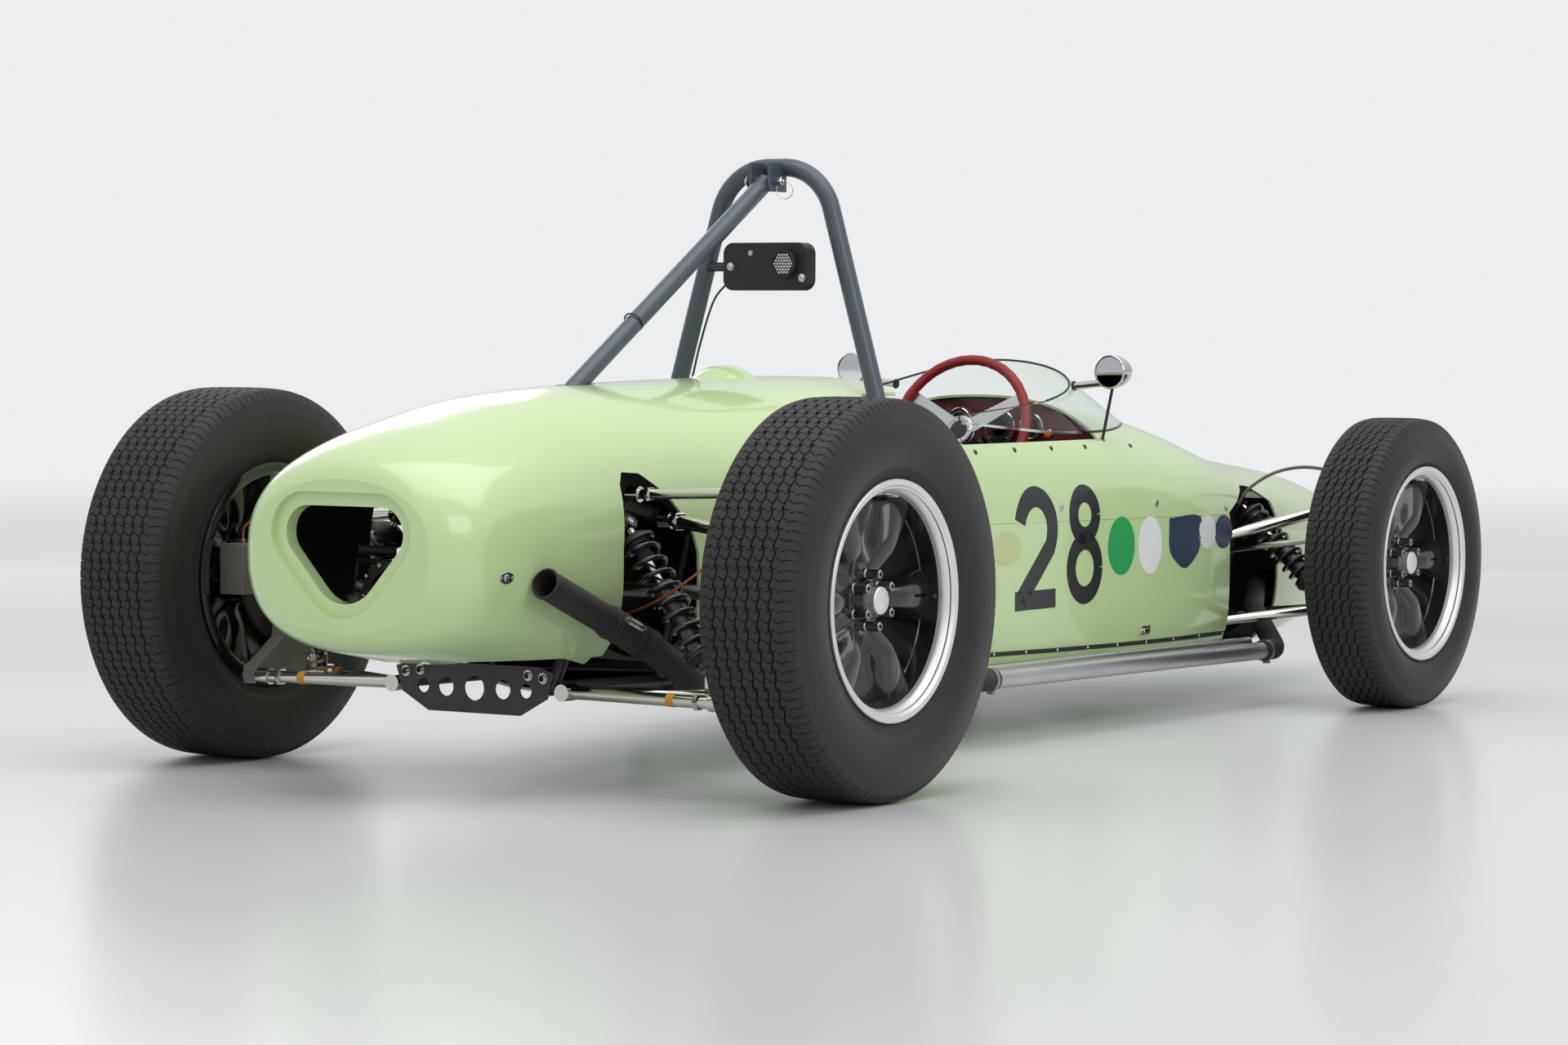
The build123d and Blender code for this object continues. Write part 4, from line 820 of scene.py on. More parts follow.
def gauge(y, radius, z):
    """A dial: chrome bezel, dark face, ticks on an arc and a needle, facing the driver."""
    bezel = turned([
        (radius - 3.2, 0.4), (radius - 2.6, 2.2), (radius - 0.4, 2.8), (radius + 1.4, 1.6),
        (radius + 2.2, -1.2), (radius + 2.2, -7.6), (radius - 3.2, -7.6)], 56, True)
    ticks = []
    for k in range(21):
        long = radius * (0.2 if k % 5 == 0 else 0.1)
        mark = box_part((-long / 2, -0.45, 0), (long / 2, 0.45, 0.5), 0.1)
        at = on_circle(radius - 5 - long / 2, [math.radians(225 - 13.5 * k)], 0.3)
        ticks.append(placed(mark, at[0]))
    needle = plate([(-6, -1.4), (radius * 0.7, -0.5), (radius * 0.7, 0.5), (-6, 1.4)], 0.8, 0.1)
    pin = turned([(0, 0.3), (3.4, 0.3), (3.4, 2.2), (0, 2.6)], 20)
    parts = [(bezel, 0), (disc(radius - 3, 0.3, -1, 48), 1), (joined(ticks), 2),
             (spun(needle, math.radians(200), (0, 0, 1.4)), 3), (pin, 1)]
    return [(put(part, (dash_x + 3.4, y, z), (-1, 0, 0)), mark) for part, mark in parts]


dial_parts = [part for dial in ((-44, 38, 602), (-122, 26, 606), (50, 26, 616), (124, 26, 600))
              for part in gauge(*dial)]
for y, z in ((-86, 566), (-8, 560), (92, 570)):
    dial_parts += [(bar((dash_x + 11.8, y, z), (dash_x + 7, y, z), 6.5), 0),
                   (bar((dash_x + 8, y, z), (dash_x - 6, y, z - 5), 2.2), 0)]
dial_parts += [(put(dome(9, 6), (dash_x + 9.5, -158, 590), (-1, 0, 0)), 4),
               (bar((dash_x + 11.8, -158, 590), (dash_x + 8.6, -158, 590), 11), 0)]
piece("dash_dials", dial_parts, [chrome, dial_face, dial_white, dial_red, amber], "chassis")


# Rays onto the bodywork

def frame_part(labels):
    """The places and triangles of some frame pieces, as one part."""
    parts = []
    for label in labels:
        mesh = nodes[label].data
        corners = np.empty(len(mesh.loops), np.int32)
        mesh.loops.foreach_get("vertex_index", corners)
        parts.append((read_points(mesh).astype(float) / MM, corners.reshape(-1, 3)))
    return joined(parts)


def skin_tree(*labels):
    """A search tree over the triangles of some frame pieces."""
    points, faces = frame_part(labels)
    return BVHTree.FromPolygons((points * MM).tolist(), faces.tolist())


side_labels = ["side_panel_left", "side_panel_right", "floor_pan"]
outer_skin = skin_tree("front_body", "side_panel_left", "side_panel_right", "tail_cover",
                       "floor_pan")
ray_start = 900.0       # farther out than the body's side
stray = 60.0            # a hit this far from the others isn't the side
skin_depth = 1.2


def landed(start, direction, tree=outer_skin):
    """Where a ray from a point lands, in millimetres, and the surface's direction there."""
    hit, normal, _, _ = tree.ray_cast(Vector(start) * MM, Vector(direction).normalized())
    if hit is None:
        return None
    normal = np.array(normal)
    if normal @ np.asarray(direction, float) > 0:
        normal = -normal
    return np.array(hit) / MM, normal


def side_patch(points, side, lift=0.7):
    """A grid of (x, z) places laid on the body's side, lost or stray ones by their neighbours."""
    n, m = points.shape[:2]
    flat = points.reshape(-1, 2)
    depth = np.full(len(flat), np.nan)
    for k, (x, z) in enumerate(flat):
        found = landed((x, side * ray_start, z), (0, -side, 0))
        if found is not None:
            depth[k] = side * found[0][1]
    depth = depth.reshape(n, m)
    depth[np.abs(depth - np.nanmedian(depth)) > stray] = np.nan
    for row in depth:
        good = ~np.isnan(row)
        row[:] = np.interp(np.arange(m), np.flatnonzero(good), row[good])
    return np.stack([points[..., 0], side * (depth + lift), points[..., 1]], -1)


def laid(points, side, close_v=False):
    """A thin skin on the body's side: its outer face, closed by one just inside it."""
    out = side_patch(points, side)
    back = out - np.array([0, side * skin_depth, 0])
    if close_v:
        return grid(np.concatenate([out, back[::-1]]), True, True)
    loop = np.concatenate([out, back[:, ::-1]], 1)
    ends = [np.repeat(row.mean(1, keepdims=True), loop.shape[1], 1)
            for row in (loop[:1], loop[-1:])]
    return grid(np.concatenate([ends[0], loop, ends[1]]), False, True)


def ribbon(path, width, across=7):
    """A flat band of points either side of a path in the (x, z) plane."""
    path = np.asarray(path, float)
    along = np.gradient(path, axis=0)
    along /= np.linalg.norm(along, axis=1, keepdims=True)
    normal = np.stack([-along[:, 1], along[:, 0]], -1)
    share = np.linspace(-0.5, 0.5, across)[None, :, None]
    width = np.broadcast_to(width, len(path))[:, None, None]
    return path[:, None] + normal[:, None] * share * width


def disc_points(cx, cz, rx, rz, rings_out=6, steps=40):
    """Rings of places in an ellipse, from its middle out."""
    a = np.linspace(0, 2 * np.pi, steps, endpoint=False)[None]
    r = np.linspace(0.02, 1, rings_out)[:, None]
    return np.stack([cx + rx * r * np.cos(a), cz + rz * r * np.sin(a)], -1)


def digit_two(cx, cz, width, height):
    """The path of a 2: an arc over the top, a slope down and a foot."""
    r = width / 2
    a = np.radians(np.linspace(165, -32, 20))
    top = np.stack([r * np.cos(a), height / 2 - r * 1.02 + r * 1.02 * np.sin(a)], -1)
    slope = np.linspace(top[-1], (-r * 0.92, -height / 2), 12)[1:]
    return np.concatenate([top, slope]) + (cx, cz)


def ring_path(cx, cz, rx, rz):
    """A closed oval path."""
    a = np.linspace(0, 2 * np.pi, 40)
    return np.stack([cx + rx * np.cos(a), cz + rz * np.sin(a)], -1)


number_x, number_z = 66.0, 374.0
digit_width, digit_height, digit_gap, stroke = 132.0, 205.0, 100.0, 42.0


def number_parts(side):
    """A plain 28, read from outside on either side of the car."""
    ahead = 1 if side < 0 else -1
    middle = (number_x - ahead * digit_gap, number_z)
    foot = np.linspace((-digit_width / 2 - 16, -digit_height / 2),
                       (digit_width / 2 + 14, -digit_height / 2), 14)
    parts = [ribbon(path * (ahead, 1) + middle, width)
             for path, width in ((digit_two(0, 0, digit_width, digit_height), stroke),
                                 (foot, stroke * 0.9))]
    for rx, rz, dz in ((46, 43, 60), (56, 55, -48)):
        oval = ring_path(number_x + ahead * digit_gap, number_z + dz, rx, rz)
        parts.append(ribbon(oval, stroke * 0.86))
    return [(laid(part, side), 0) for part in parts]


stickers = [
    ((-153, 379), (60, 33), 1), ((322, 365), (58, 60), 2), ((450, 361), (52, 60), 3),
    ((722, 379), (42, 36), 3), ((806, 376), (46, 36), 4),
]
shield_place = np.array((612, 362))
shield = [(-74, 52), (74, 52), (74, -10), (46, -38), (0, -56), (-46, -38), (-74, -10)]
shield_edge = through([(x, 0, z) for x, z in shield + shield[:1]], 4)[:, (0, 2)][:-1]
shield_rows = shield_place + np.linspace(0.02, 1, 6)[:, None, None] * shield_edge[None]
side_finishes = [number_black] + [
    make_finish(name, colour, tint, roughness, bump=0.02) for name, colour, tint, roughness in (
        ("pale_mark", (196, 206, 150), (188, 198, 142), 0.4),
        ("green_mark", (30, 160, 84), (26, 148, 76), 0.35),
        ("white_mark", (226, 228, 226), (214, 217, 215), 0.4),
        ("blue_mark", (40, 56, 84), (34, 48, 74), 0.35))]
for side, label in ((1, "left"), (-1, "right")):
    marks = number_parts(side)
    for (x, z), (rx, rz), mark in stickers:
        marks.append((laid(disc_points(x, z, rx, rz), side, True), mark))
    marks.append((laid(shield_rows, side, True), 4))
    piece(f"side_number_{label}", marks, side_finishes, "chassis")


# Black coats of painted shade inside the bodywork, and small pieces on the bodywork

def painted_shade_coat(name, labels, middle_z=400.0, inward_limit=-0.35):
    """A black coat of painted shade on the inner wall, standing in for the shade inside the body:
    the faces whose normals point at the car's middle line.
    """
    points, faces = frame_part(labels)
    a, b, c = (points[faces[:, k]] for k in range(3))
    normal = np.cross(b - a, c - a)
    normal /= np.maximum(np.linalg.norm(normal, axis=1, keepdims=True), 1e-9)
    centre = (a + b + c) / 3
    out = (centre - (0, 0, middle_z)) * (0, 1, 1)
    out /= np.linalg.norm(out, axis=1, keepdims=True)
    inward = (normal * out).sum(1) < inward_limit
    inward &= (centre[:, 0] > tail_rim_x) & (centre[:, 0] < nose_rim_x)
    mesh = bpy.data.meshes.new(name)
    mesh.from_pydata((points * MM).tolist(), [], faces[inward].tolist())
    welded(mesh, 2e-5, closed=False)
    mesh.materials.append(painted_shade_black)
    coat = linked(name, mesh)
    wall = coat.modifiers.new("wall", "SOLIDIFY")
    wall.thickness, wall.offset = coat_thickness, 1.0
    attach(coat, "chassis")


# Painted shade: a near-black finish for the bodywork's inner walls, where the shade inside the body
# falls.
painted_shade_black = make_finish("painted_shade_black", (16, 16, 16), (26, 25, 24), 0.7, drift=8.0,
                           bump=0.15, dusty=0.2)
coat_thickness = 0.0007
tail_rim_x, nose_rim_x = rear_x - 505, front_x + 700      # the coats end inside the rims
painted_shade_coat("tail_painted_shade_coat", ["tail_cover"])
painted_shade_coat("panel_painted_shade_coat", side_labels)
painted_shade_coat("nose_painted_shade_coat", ["front_body"])


def on_side(part, x, z, side, lift=0.0):
    """A part whose Z stands off the body's side at a height and a place along the car."""
    place, normal = landed((x, side * ray_start, z), (0, -side, 0))
    return put(part, place + normal * lift, normal)


def camera_axes():
    """The camera's forward, right and up directions, with its slight roll."""
    look = np.array([math.cos(camera_yaw) * math.cos(camera_pitch),
                     math.sin(camera_yaw) * math.cos(camera_pitch), math.sin(camera_pitch)])
    right = np.cross(look, (0, 0, 1))
    right /= np.linalg.norm(right)
    up = np.cross(right, look)
    c, s = math.cos(camera_roll), math.sin(camera_roll)
    return look, c * right + s * up, c * up - s * right


camera_place = (-7.5918, -4.6083, 0.8104)
camera_yaw, camera_pitch, camera_roll = (math.radians(a) for a in (32.73, -2.564, 0.305))
camera_lens, sensor = 100.43, 36.0
image_width, image_height = 1920, 1280


def seen_at(u, v, tree=outer_skin):
    """Where the line of sight through a place of the picture lands on the car."""
    look, right, up = camera_axes()
    scale = sensor / camera_lens / image_width
    way = look + right * (u - image_width / 2) * scale - up * (v - image_height / 2) * scale
    return landed(np.array(camera_place) / MM, way, tree)


tail_fastener_seen = (620, 708)
slot_screw = joined([
    turned([(0, -0.5), (8.5, -0.5), (8.5, 0.9), (6.4, 1.5), (6.2, 3.0), (5.4, 3.6), (1.3, 3.6),
            (1.3, 2.4), (0, 2.4)], 28),
    box_part((-5.0, -0.8, 3.2), (5.0, 0.8, 4.0), 0.2)])
latch = joined([
    box_part((-20, -9, 0), (20, 9, 3.2), 1.2), box_part((-12, -6, 3), (14, 4, 7), 1.5)]
    + [spun(dome(3.0, 1.6, 14), 0, (x, 0, 3.2)) for x in (-16, 16)])
sill_line = np.array([(-204, 172), (50, 166), (320, 161), (600, 158), (842, 157)], float)
sill_steps = np.interp(np.linspace(0, 1, 60), np.linspace(0, 1, 5), sill_line[:, 0])
sill = np.stack([sill_steps, np.interp(sill_steps, *sill_line.T)], -1)
seam_places = ((69, 452), (481, 448), (826, 428))
screen_places = ((-225, 568), (-65, 569), (89, 569), (239, 569), (474, 566))
fasteners = []
for side in (1, -1):
    fasteners += [(on_side(slot_screw, x, z, side), 0) for x, z in seam_places]
    fasteners += [(on_side(dome(5.6, 3.0, 20), x, z, side), 2) for x, z in screen_places]
    fasteners.append((laid(ribbon(sill, 9.0, 3), side), 1))
    fasteners += [(on_side(dome(3.4, 1.8, 14), x, np.interp(x, *sill_line.T), side, 0.8), 0)
                  for x in np.linspace(-190, 830, 9)]
    fasteners.append((on_side(latch, 432, 186, side), 0))
oval = [(17 * math.cos(a) * (1 if abs(math.cos(a)) > 0.5 else 0.8), 10.5 * math.sin(a))
        for a in np.linspace(0, 2 * np.pi, 28, endpoint=False)]
quarter_turn = joined(
    [spun(plate(oval, 1.8, 0.5), 0, (0, 0, 0.7)), spun(slot_screw, 0.5)]
    + [spun(dome(2.2, 1.2, 14), 0, (x, 0, 1.5)) for x in (-13.5, 13.5)])
fasteners.append((both_sides(put(quarter_turn, *seen_at(*tail_fastener_seen))), 3))
piece("body_fasteners", fasteners, [chrome, rubber, cast_black, alloy], "chassis")


# Screen edge, mirrors, hoop fittings and rain light

screen_tree = skin_tree("windscreen")
front_tree = skin_tree("front_body")


def screen_edge():
    """The screen's top edge: for each direction from the cockpit, the highest place hit."""
    eye = np.array([dash_x - 40, 0.0, 0.0])
    low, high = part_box("windscreen")
    heights = np.arange(low.z / MM + 40, high.z / MM + 1, 1.5)
    path = []
    for a in np.radians(np.linspace(-118, 118, 75)):
        way = (math.cos(a), math.sin(a), 0)
        hits = [landed(eye + (0, 0, z), way, screen_tree) for z in heights]
        hits = [h[0] for h in hits if h is not None]
        if hits:
            path.append(hits[-1] + np.array(way) * 1.4)
    smooth = np.array(path)
    for _ in range(3):
        smooth[1:-1] = (smooth[:-2] + 2 * smooth[1:-1] + smooth[2:]) / 4
    return smooth


piece("screen_edge_trim", [(tube(screen_edge(), 2.3, sides=10), 0)], [rubber], "chassis")

mirror_at = np.array([dash_x - 5, 312.0, 721.0])


def mirror_parts():
    """A chrome bullet shell, its glass in a rim, a short arm to the screen and a thin stay."""
    a = np.linspace(0, np.pi / 2, 12)
    shell = [(0, -1.5), (31, -1.5), (31.5, -3.6), (33.5, -4), (35, -2.5), (35, 0)]
    shell += list(zip(35 * np.cos(a[1:]), 71.5 * np.sin(a[1:])))
    place = facing(mirror_at, (1, 0, 0))
    joint = mirror_at + (20, -10, -21)
    foot, _ = landed(joint, (4, -112, -12), screen_tree)
    stay_top = mirror_at + (22, -4, -24)
    stay_foot, _ = landed(stay_top, mirror_at + (30, -50, -221) - stay_top, front_tree)
    return [(placed(turned(shell, 64), place), 0), (placed(disc(30.8, -2.6, -1.4, 56), place), 1),
            (bar(joint, foot, 7.6, 28), 0),
            (bar(foot + (-0.2, 5, 0.5), foot + (0, -0.6, 0), 10.5, 28), 2),
            (bar(mirror_at + (20, 0, -12), joint + (0, -3, -2), 9.5, 24), 0),
            (bar(stay_top, stay_foot, 3.2, 16), 2),
            (put(dome(6, 2.4), stay_foot, (0, 0.6, 0.8)), 2)]


piece("mirrors_polished", [(both_sides(part), mark) for part, mark in mirror_parts()],
      [chrome, mirror_glass, rubber], "chassis", ["mirrors"])


def small_ring(place, direction, radius, wire):
    """A ring of wire about a direction."""
    return put(tube(circle(radius), wire, sides=10, closed=True), place, direction)


pin_at = np.array([hoop_x - 40, 0, 1090.0])
stay_way = np.array([-805, 0, -496.0])
hoop_parts = [
    (put(bolt_head(9.5, 7), pin_at + (0, 34, 0), (0, 1, 0)), 0),
    (put(hex_nut(9.5, 8), pin_at + (0, -34, 0), (0, -1, 0)), 0),
    (bar(pin_at + (0, -46, 0), pin_at + (0, -34, 0), 4), 0),
    (small_ring(pin_at + (3, -44, -17), (1, 0.2, 0), 17, 0.9), 0)]
hoop_parts += [(small_ring(pin_at + stay_way * share, stay_way, 18.6, 1.5), 1)
               for share in (0.9, 0.55)]
light_x, light_z, lens_y = hoop_x - 57.5, 926.0, -62
leds = [(y * 6.4 + (z % 2) * 3.2, z * 5.6) for z in range(-3, 4) for y in range(-3, 4)
        if math.hypot(y * 6.4 + (z % 2) * 3.2, z * 5.6) < 20.5]
led_places = [facing((light_x - 12.4, lens_y + y, light_z + 5 + z), (-1, 0, 0))
              for y, z in leds]
lamp_ring = turned([(22.4, 0), (23.4, 2.2), (25.8, 2.2), (26.6, 0), (26.6, -11), (22.4, -11)],
                   48, True)
wire = through([(light_x + 20, 72, light_z - 8), (hoop_x - 22, 96, light_z - 30),
                (hoop_x - 20, 130, 860), (hoop_x - 20, 160, 780), (hoop_x - 20, 182, 700)])
hoop_parts += [
    (repeated(dome(2.5, 2.2, 12), led_places), 2),
    (put(lamp_ring, (light_x - 11.8, lens_y, light_z + 5), (-1, 0, 0)), 3),
    (tube(wire, 2.2, up=(1, 0, 0), sides=8), 1)]
hoop_parts += [(put(bolt_head(radius, height), (light_x, y, light_z + z), (-1, 0, 0)), 0)
               for radius, height, y, z in ((6, 5, 66, 0), (6, 5, -98, -22), (4, 3, 20, 26))]
piece("hoop_fittings", hoop_parts, [chrome, rubber, led_lens, lamp_black], "chassis")


# Exhaust, tail castings and underbody fittings

exhaust_a = np.array([rear_x - 366, -296, 377.0])
exhaust_b = np.array([rear_x - 64, -296, 256.0])
exhaust_way = (exhaust_b - exhaust_a) / np.linalg.norm(exhaust_b - exhaust_a)
pipe_radius = 25.6
hook = np.array([0, -33, 8.0])


def by_pipe(distance, off=0.0):
    """A place some way along the tail pipe, moved off it towards its hooks."""
    return exhaust_a + exhaust_way * distance + hook * off


def pipe_band(distance, length, radius, soft=1.0):
    """A band round the tail pipe from a distance along it."""
    ring = [(pipe_radius, 0)] + soft_line(radius, length, soft) + [(pipe_radius, length)]
    return put(turned(ring, 48, True), by_pipe(distance), exhaust_way)


turns = np.linspace(0, 2 * np.pi * 9, 160)
coil = polar(5.2, turns, turns / turns[-1] * 46)
exhaust_parts = [(pipe_band(*band), 0) for band in (
    (1.5, 5, 27.6), (196, 96, 28.4), (206, 5, 30), (270, 5, 30), (236, 3, 29.6))]
exhaust_parts.append((put(tube(coil, 1.1, sides=6), by_pipe(214, 1), exhaust_way), 2))
exhaust_parts += [(bar(by_pipe(at, 0.85), by_pipe(at, 1.25), 2.2), 1) for at in (210, 264)]
piece("exhaust_fittings", exhaust_parts, [pipe_black, steel, chrome], "chassis")

gear_end = rear_x - 314.0
casting = turned([(0, 0), (44, 0), (44, 18), (38, 30), (38, 84), (50, 88), (50, 96), (47, 98),
                  (30, 98), (26, 90), (0, 90)], 56)
eighths = np.arange(8) * math.pi / 4
ribs = repeated(box_part((-2.5, 36, 16), (2.5, 50, 88), 1.2),
                [turned_by(a) for a in eighths + 0.6])
gear_parts = [(put(part, (gear_end + 1, 8, 356), (-1, 0, 0)), mark) for part, mark in (
    (casting, 0), (repeated(hex_nut(6.5, 7), on_circle(43.5, eighths + 0.2, 97)), 1), (ribs, 0))]
slave_way = (-0.7, 0.5, 0.1)
gear_parts += [
    (put(turned([(0, 0), (17, 0), (19, 3), (19, 30), (14, 36), (14, 44), (0, 44)], 32),
         (gear_end - 62, 66, 328), slave_way), 2),
    (put(turned([(0, 0), (10, 0), (10, 26), (6, 30), (0, 30)], 24),
         (gear_end - 70, 58, 356), (-0.4, 0.9, 0.2)), 2),
    (box_part((gear_end - 84, 42, 304), (gear_end - 62, 88, 318), 3), 2),
    (put(hex_nut(6.5, 6), (gear_end - 93, 88, 331), slave_way), 1),
    (bar((gear_end - 60, -30, 398), (gear_end - 60, 96, 402), 6), 0),
    (bar((gear_end - 60, 96, 402), (gear_end - 66, 100, 340), 4), 0),
    (bar((gear_end - 92, 70, 424), (gear_end - 50, 20, 420), 9), 0)]
gear_parts += [(put(bolt_head(6, 5), (gear_end - 84, y, 311), (-1, 0, 0)), 1) for y in (50, 80)]
piece("gearbox_tail_fittings", gear_parts, [cast_black, chrome, cast_grey], "chassis")


# Suspension fittings

inner_face, outer_face = 481.5, 538.2       # the rear upright's two faces
link_y = 497.7
link_ends = [
    ((rear_x - 37, 251.7, 516), (rear_x - 57, link_y, 524), 9.0),
    ((rear_x + 45, 265.7, 470), (rear_x - 40, link_y, 450), 12.0),
]
lower_pivot = np.array([rear_x - 146, 186, 172.0])
lower_feet = [(rear_x - 140, 495.7, 168), (rear_x + 20, 495.7, 168)]


def jam_nut(start, end, radius, distance):
    """A hexagon collar on a link, some way from its start."""
    a, b = np.asarray(start, float), np.asarray(end, float)
    way = (b - a) / np.linalg.norm(b - a)
    ring = turned([(radius * 0.7, 0), (radius * 1.34, 0), (radius * 1.46, 1.2),
                   (radius * 1.46, 8), (radius * 1.34, 9.2), (radius * 0.7, 9.2)], 6, True)
    return put(ring, a + way * distance, way)


fixings, bands = [], []
for inner, outer, radius in link_ends:
    fixings += [
        jam_nut(outer, inner, radius, 30), jam_nut(inner, outer, radius, 30),
        put(bolt_head(8, 6), (outer[0], outer_face, outer[2]), (0, 1, 0)),
        put(hex_nut(8, 7), (outer[0], link_y - 12.2, outer[2]), (0, -1, 0)),
        put(bolt_head(8, 6), (inner[0], inner[1] + 12.2, inner[2]), (0, 1, 0))]
for foot in lower_feet:
    fixings += [jam_nut(foot, lower_pivot, 11, 34),
                put(bolt_head(9, 7), (foot[0], outer_face, foot[2]), (0, 1, 0)),
                put(hex_nut(9, 7), (foot[0], inner_face, foot[2]), (0, -1, 0))]
    way = (lower_pivot - foot) / np.linalg.norm(lower_pivot - foot)
    band = turned([(10.6, 0), (11.8, 0.4), (11.8, 15.6), (10.6, 16)], 32, True)
    bands.append(put(band, np.array(foot) + way * 84, way))
for place in sum(coil_ends.values(), ()):
    fixings += [put(bolt_head(7.5, 5.5), np.array(place) + (17.5, 0, 0), (1, 0, 0)),
                put(hex_nut(7.5, 6.5), np.array(place) - (17.5, 0, 0), (-1, 0, 0))]
fixings += [put(bolt_head(7, 5), (rear_x - 167.8, side * y, z), (-1, 0, 0))
            for side in (-1, 1) for y, z in ((150, 196), (118, 200))]
piece("suspension_fixings", [(both_sides(joined(fixings)), 0), (both_sides(joined(bands)), 1)],
      [chrome, yellow_band], "chassis")

king_y = 548        # the front upright's middle, across
for side, label in ((1, "left"), (-1, "right")):
    nuts = [put(hex_nut(10, 9), (front_x, side * king_y, z), (0, 0, way))
            for z, way in ((452, 1), (203, -1))]
    nuts += [put(bolt_head(7, 5), (front_x + 104, side * king_y, z), (0, -side, 0))
             for z in (297, 325)]
    piece(f"upright_nuts_{label}", [(part, 0) for part in nuts], [chrome], f"knuckle_{label}")


def brake_pipes():
    """Copper pipes to the rear callipers and braided hoses to the front uprights."""
    rear = np.array([(-126, 560, 410), (-124, 556, 440), (-116, 530, 452), (-108, 490, 430),
                     (-104, 420, 380), (-96, 330, 330), (-92, 240, 300)]) + (rear_x, 0, 0)
    front = np.array([(-88, 300, 432), (-84, 326, 466), (-66, 372, 498), (-40, 426, 512),
                      (-16, 480, 506), (-4, 522, 488), (0, 540, 470)]) + (front_x, 0, 0)
    union = bar((rear_x - 126, 560, 400), (rear_x - 126, 560, 416), 6, 6)
    return [(both_sides(tube(through(rear), 2.6, up=(1, 0, 0), sides=8)), 0),
            (both_sides(tube(through(front), 3.6, up=(1, 0, 0), sides=8)), 1),
            (both_sides(union), 2)]


hose_braid = make_finish("hose_braid", (120, 112, 98), (96, 90, 80), 0.5, 0.4, drift=60.0,
                         grain_scale=900, bump=0.4)
piece("brake_pipes", brake_pipes(), [copper, hose_braid, steel], "chassis")


# Radiator core and pipe clamps

radiator_low, radiator_high = (np.array(c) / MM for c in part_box("radiator"))


def radiator_face():
    """Upright water tubes with flat fins between them, in front of the core."""
    x = radiator_high[0] + 0.4
    low_y, high_y = radiator_low[1] + 8, radiator_high[1] - 8
    low_z, high_z = radiator_low[2] + 20, radiator_high[2] - 20
    tube_y = np.linspace(low_y, high_y, 27)
    upright = box_part((x, -1.4, low_z), (x + 3, 1.4, high_z), 0.6)
    fin = box_part((x - 0.2, -6, -0.35), (x + 2.2, 6, 0.35), 0.1)
    tubes = repeated(upright, [turned_by(0, (0, y, 0)) for y in tube_y])
    between = (tube_y[:-1] + tube_y[1:]) / 2
    fins = repeated(fin, [turned_by(0, (0, y, z)) for y in between
                          for z in np.arange(low_z, high_z, 6)])
    tanks = joined([box_part((x - 50, low_y - 6, z - 9), (x + 5, high_y + 6, z + 9), 4)
                    for z in (low_z - 10, high_z + 10)])
    return [(tubes, 0), (fins, 0), (tanks, 0)]


def hose_clamps():
    """Bands with a screw box where each hose grips its pipe."""
    clamps = []
    for x, z in ((front_x - 168 + 14, 120), (hoop_x + 160 - 14, 133)):
        clamps.append(put(sleeve(21.8, 23.2, -5, 5, 40), (x, 400, z), (1, 0, 0)))
        clamps.append(box_part((x - 5, 398, z - 28), (x + 5, 412, z - 21), 1))
    return both_sides(joined(clamps))


piece("radiator_core_front", radiator_face(), [cast_black], "chassis")
piece("hose_clamps", [(hose_clamps(), 0)], [steel], "chassis")


# Seat pad

def power(values, exponent):
    """Each value's size raised to an exponent, with its sign kept."""
    return np.sign(values) * np.abs(values) ** exponent


def pad_shape():
    """A pad along the seat: width and thickness by a rounded box, carried over its inner line."""
    line = through([
        (dash_x - 232, 0, 252), (dash_x - 275, 0, 232), (dash_x - 330, 0, 214),
        (dash_x - 405, 0, 198), (dash_x - 480, 0, 196), (dash_x - 540, 0, 216),
        (dash_x - 590, 0, 262), (hoop_x + 136, 0, 350), (hoop_x + 112, 0, 440),
        (hoop_x + 96, 0, 520), (hoop_x + 88, 0, 575)], 6)
    a = np.linspace(0, 2 * np.pi, 40, endpoint=False)
    outline = np.stack([170 * power(np.cos(a), 0.35), 15 * power(np.sin(a), 0.6)], -1)
    share = np.linspace(-1, 1, len(line))
    size = (1 - np.abs(share) ** 14) ** 0.5 * 0.98 + 0.02
    return carried(line, outline, size=size), line


def puffed(pad, cap=0.007):
    """The pad swelled by its own filling as cloth, each place moved by no more than a cap."""
    work = pad.modifiers.new("voxels", "REMESH")
    work.mode, work.voxel_size = "VOXEL", 0.006
    dg = bpy.context.evaluated_depsgraph_get()
    mesh = bpy.data.meshes.new_from_object(pad.evaluated_get(dg))
    pad.modifiers.clear()
    pad.data = mesh
    start = read_points(mesh)
    cloth = pad.modifiers.new("cloth", "CLOTH")
    cloth.settings.use_pressure = True
    cloth.settings.uniform_pressure_force = 4.0
    cloth.settings.effector_weights.gravity = 0.0
    for step in range(1, 21):
        bpy.context.scene.frame_set(step)
    dg = bpy.context.evaluated_depsgraph_get()
    move = read_points(bpy.data.meshes.new_from_object(pad.evaluated_get(dg))) - start
    pad.modifiers.clear()
    far = np.linalg.norm(move, axis=1, keepdims=True)
    move *= np.minimum(1, cap / np.maximum(far, 1e-9))
    mesh.vertices.foreach_set("co", (start + move).ravel())
    mesh.update()
    bpy.context.scene.frame_set(1)


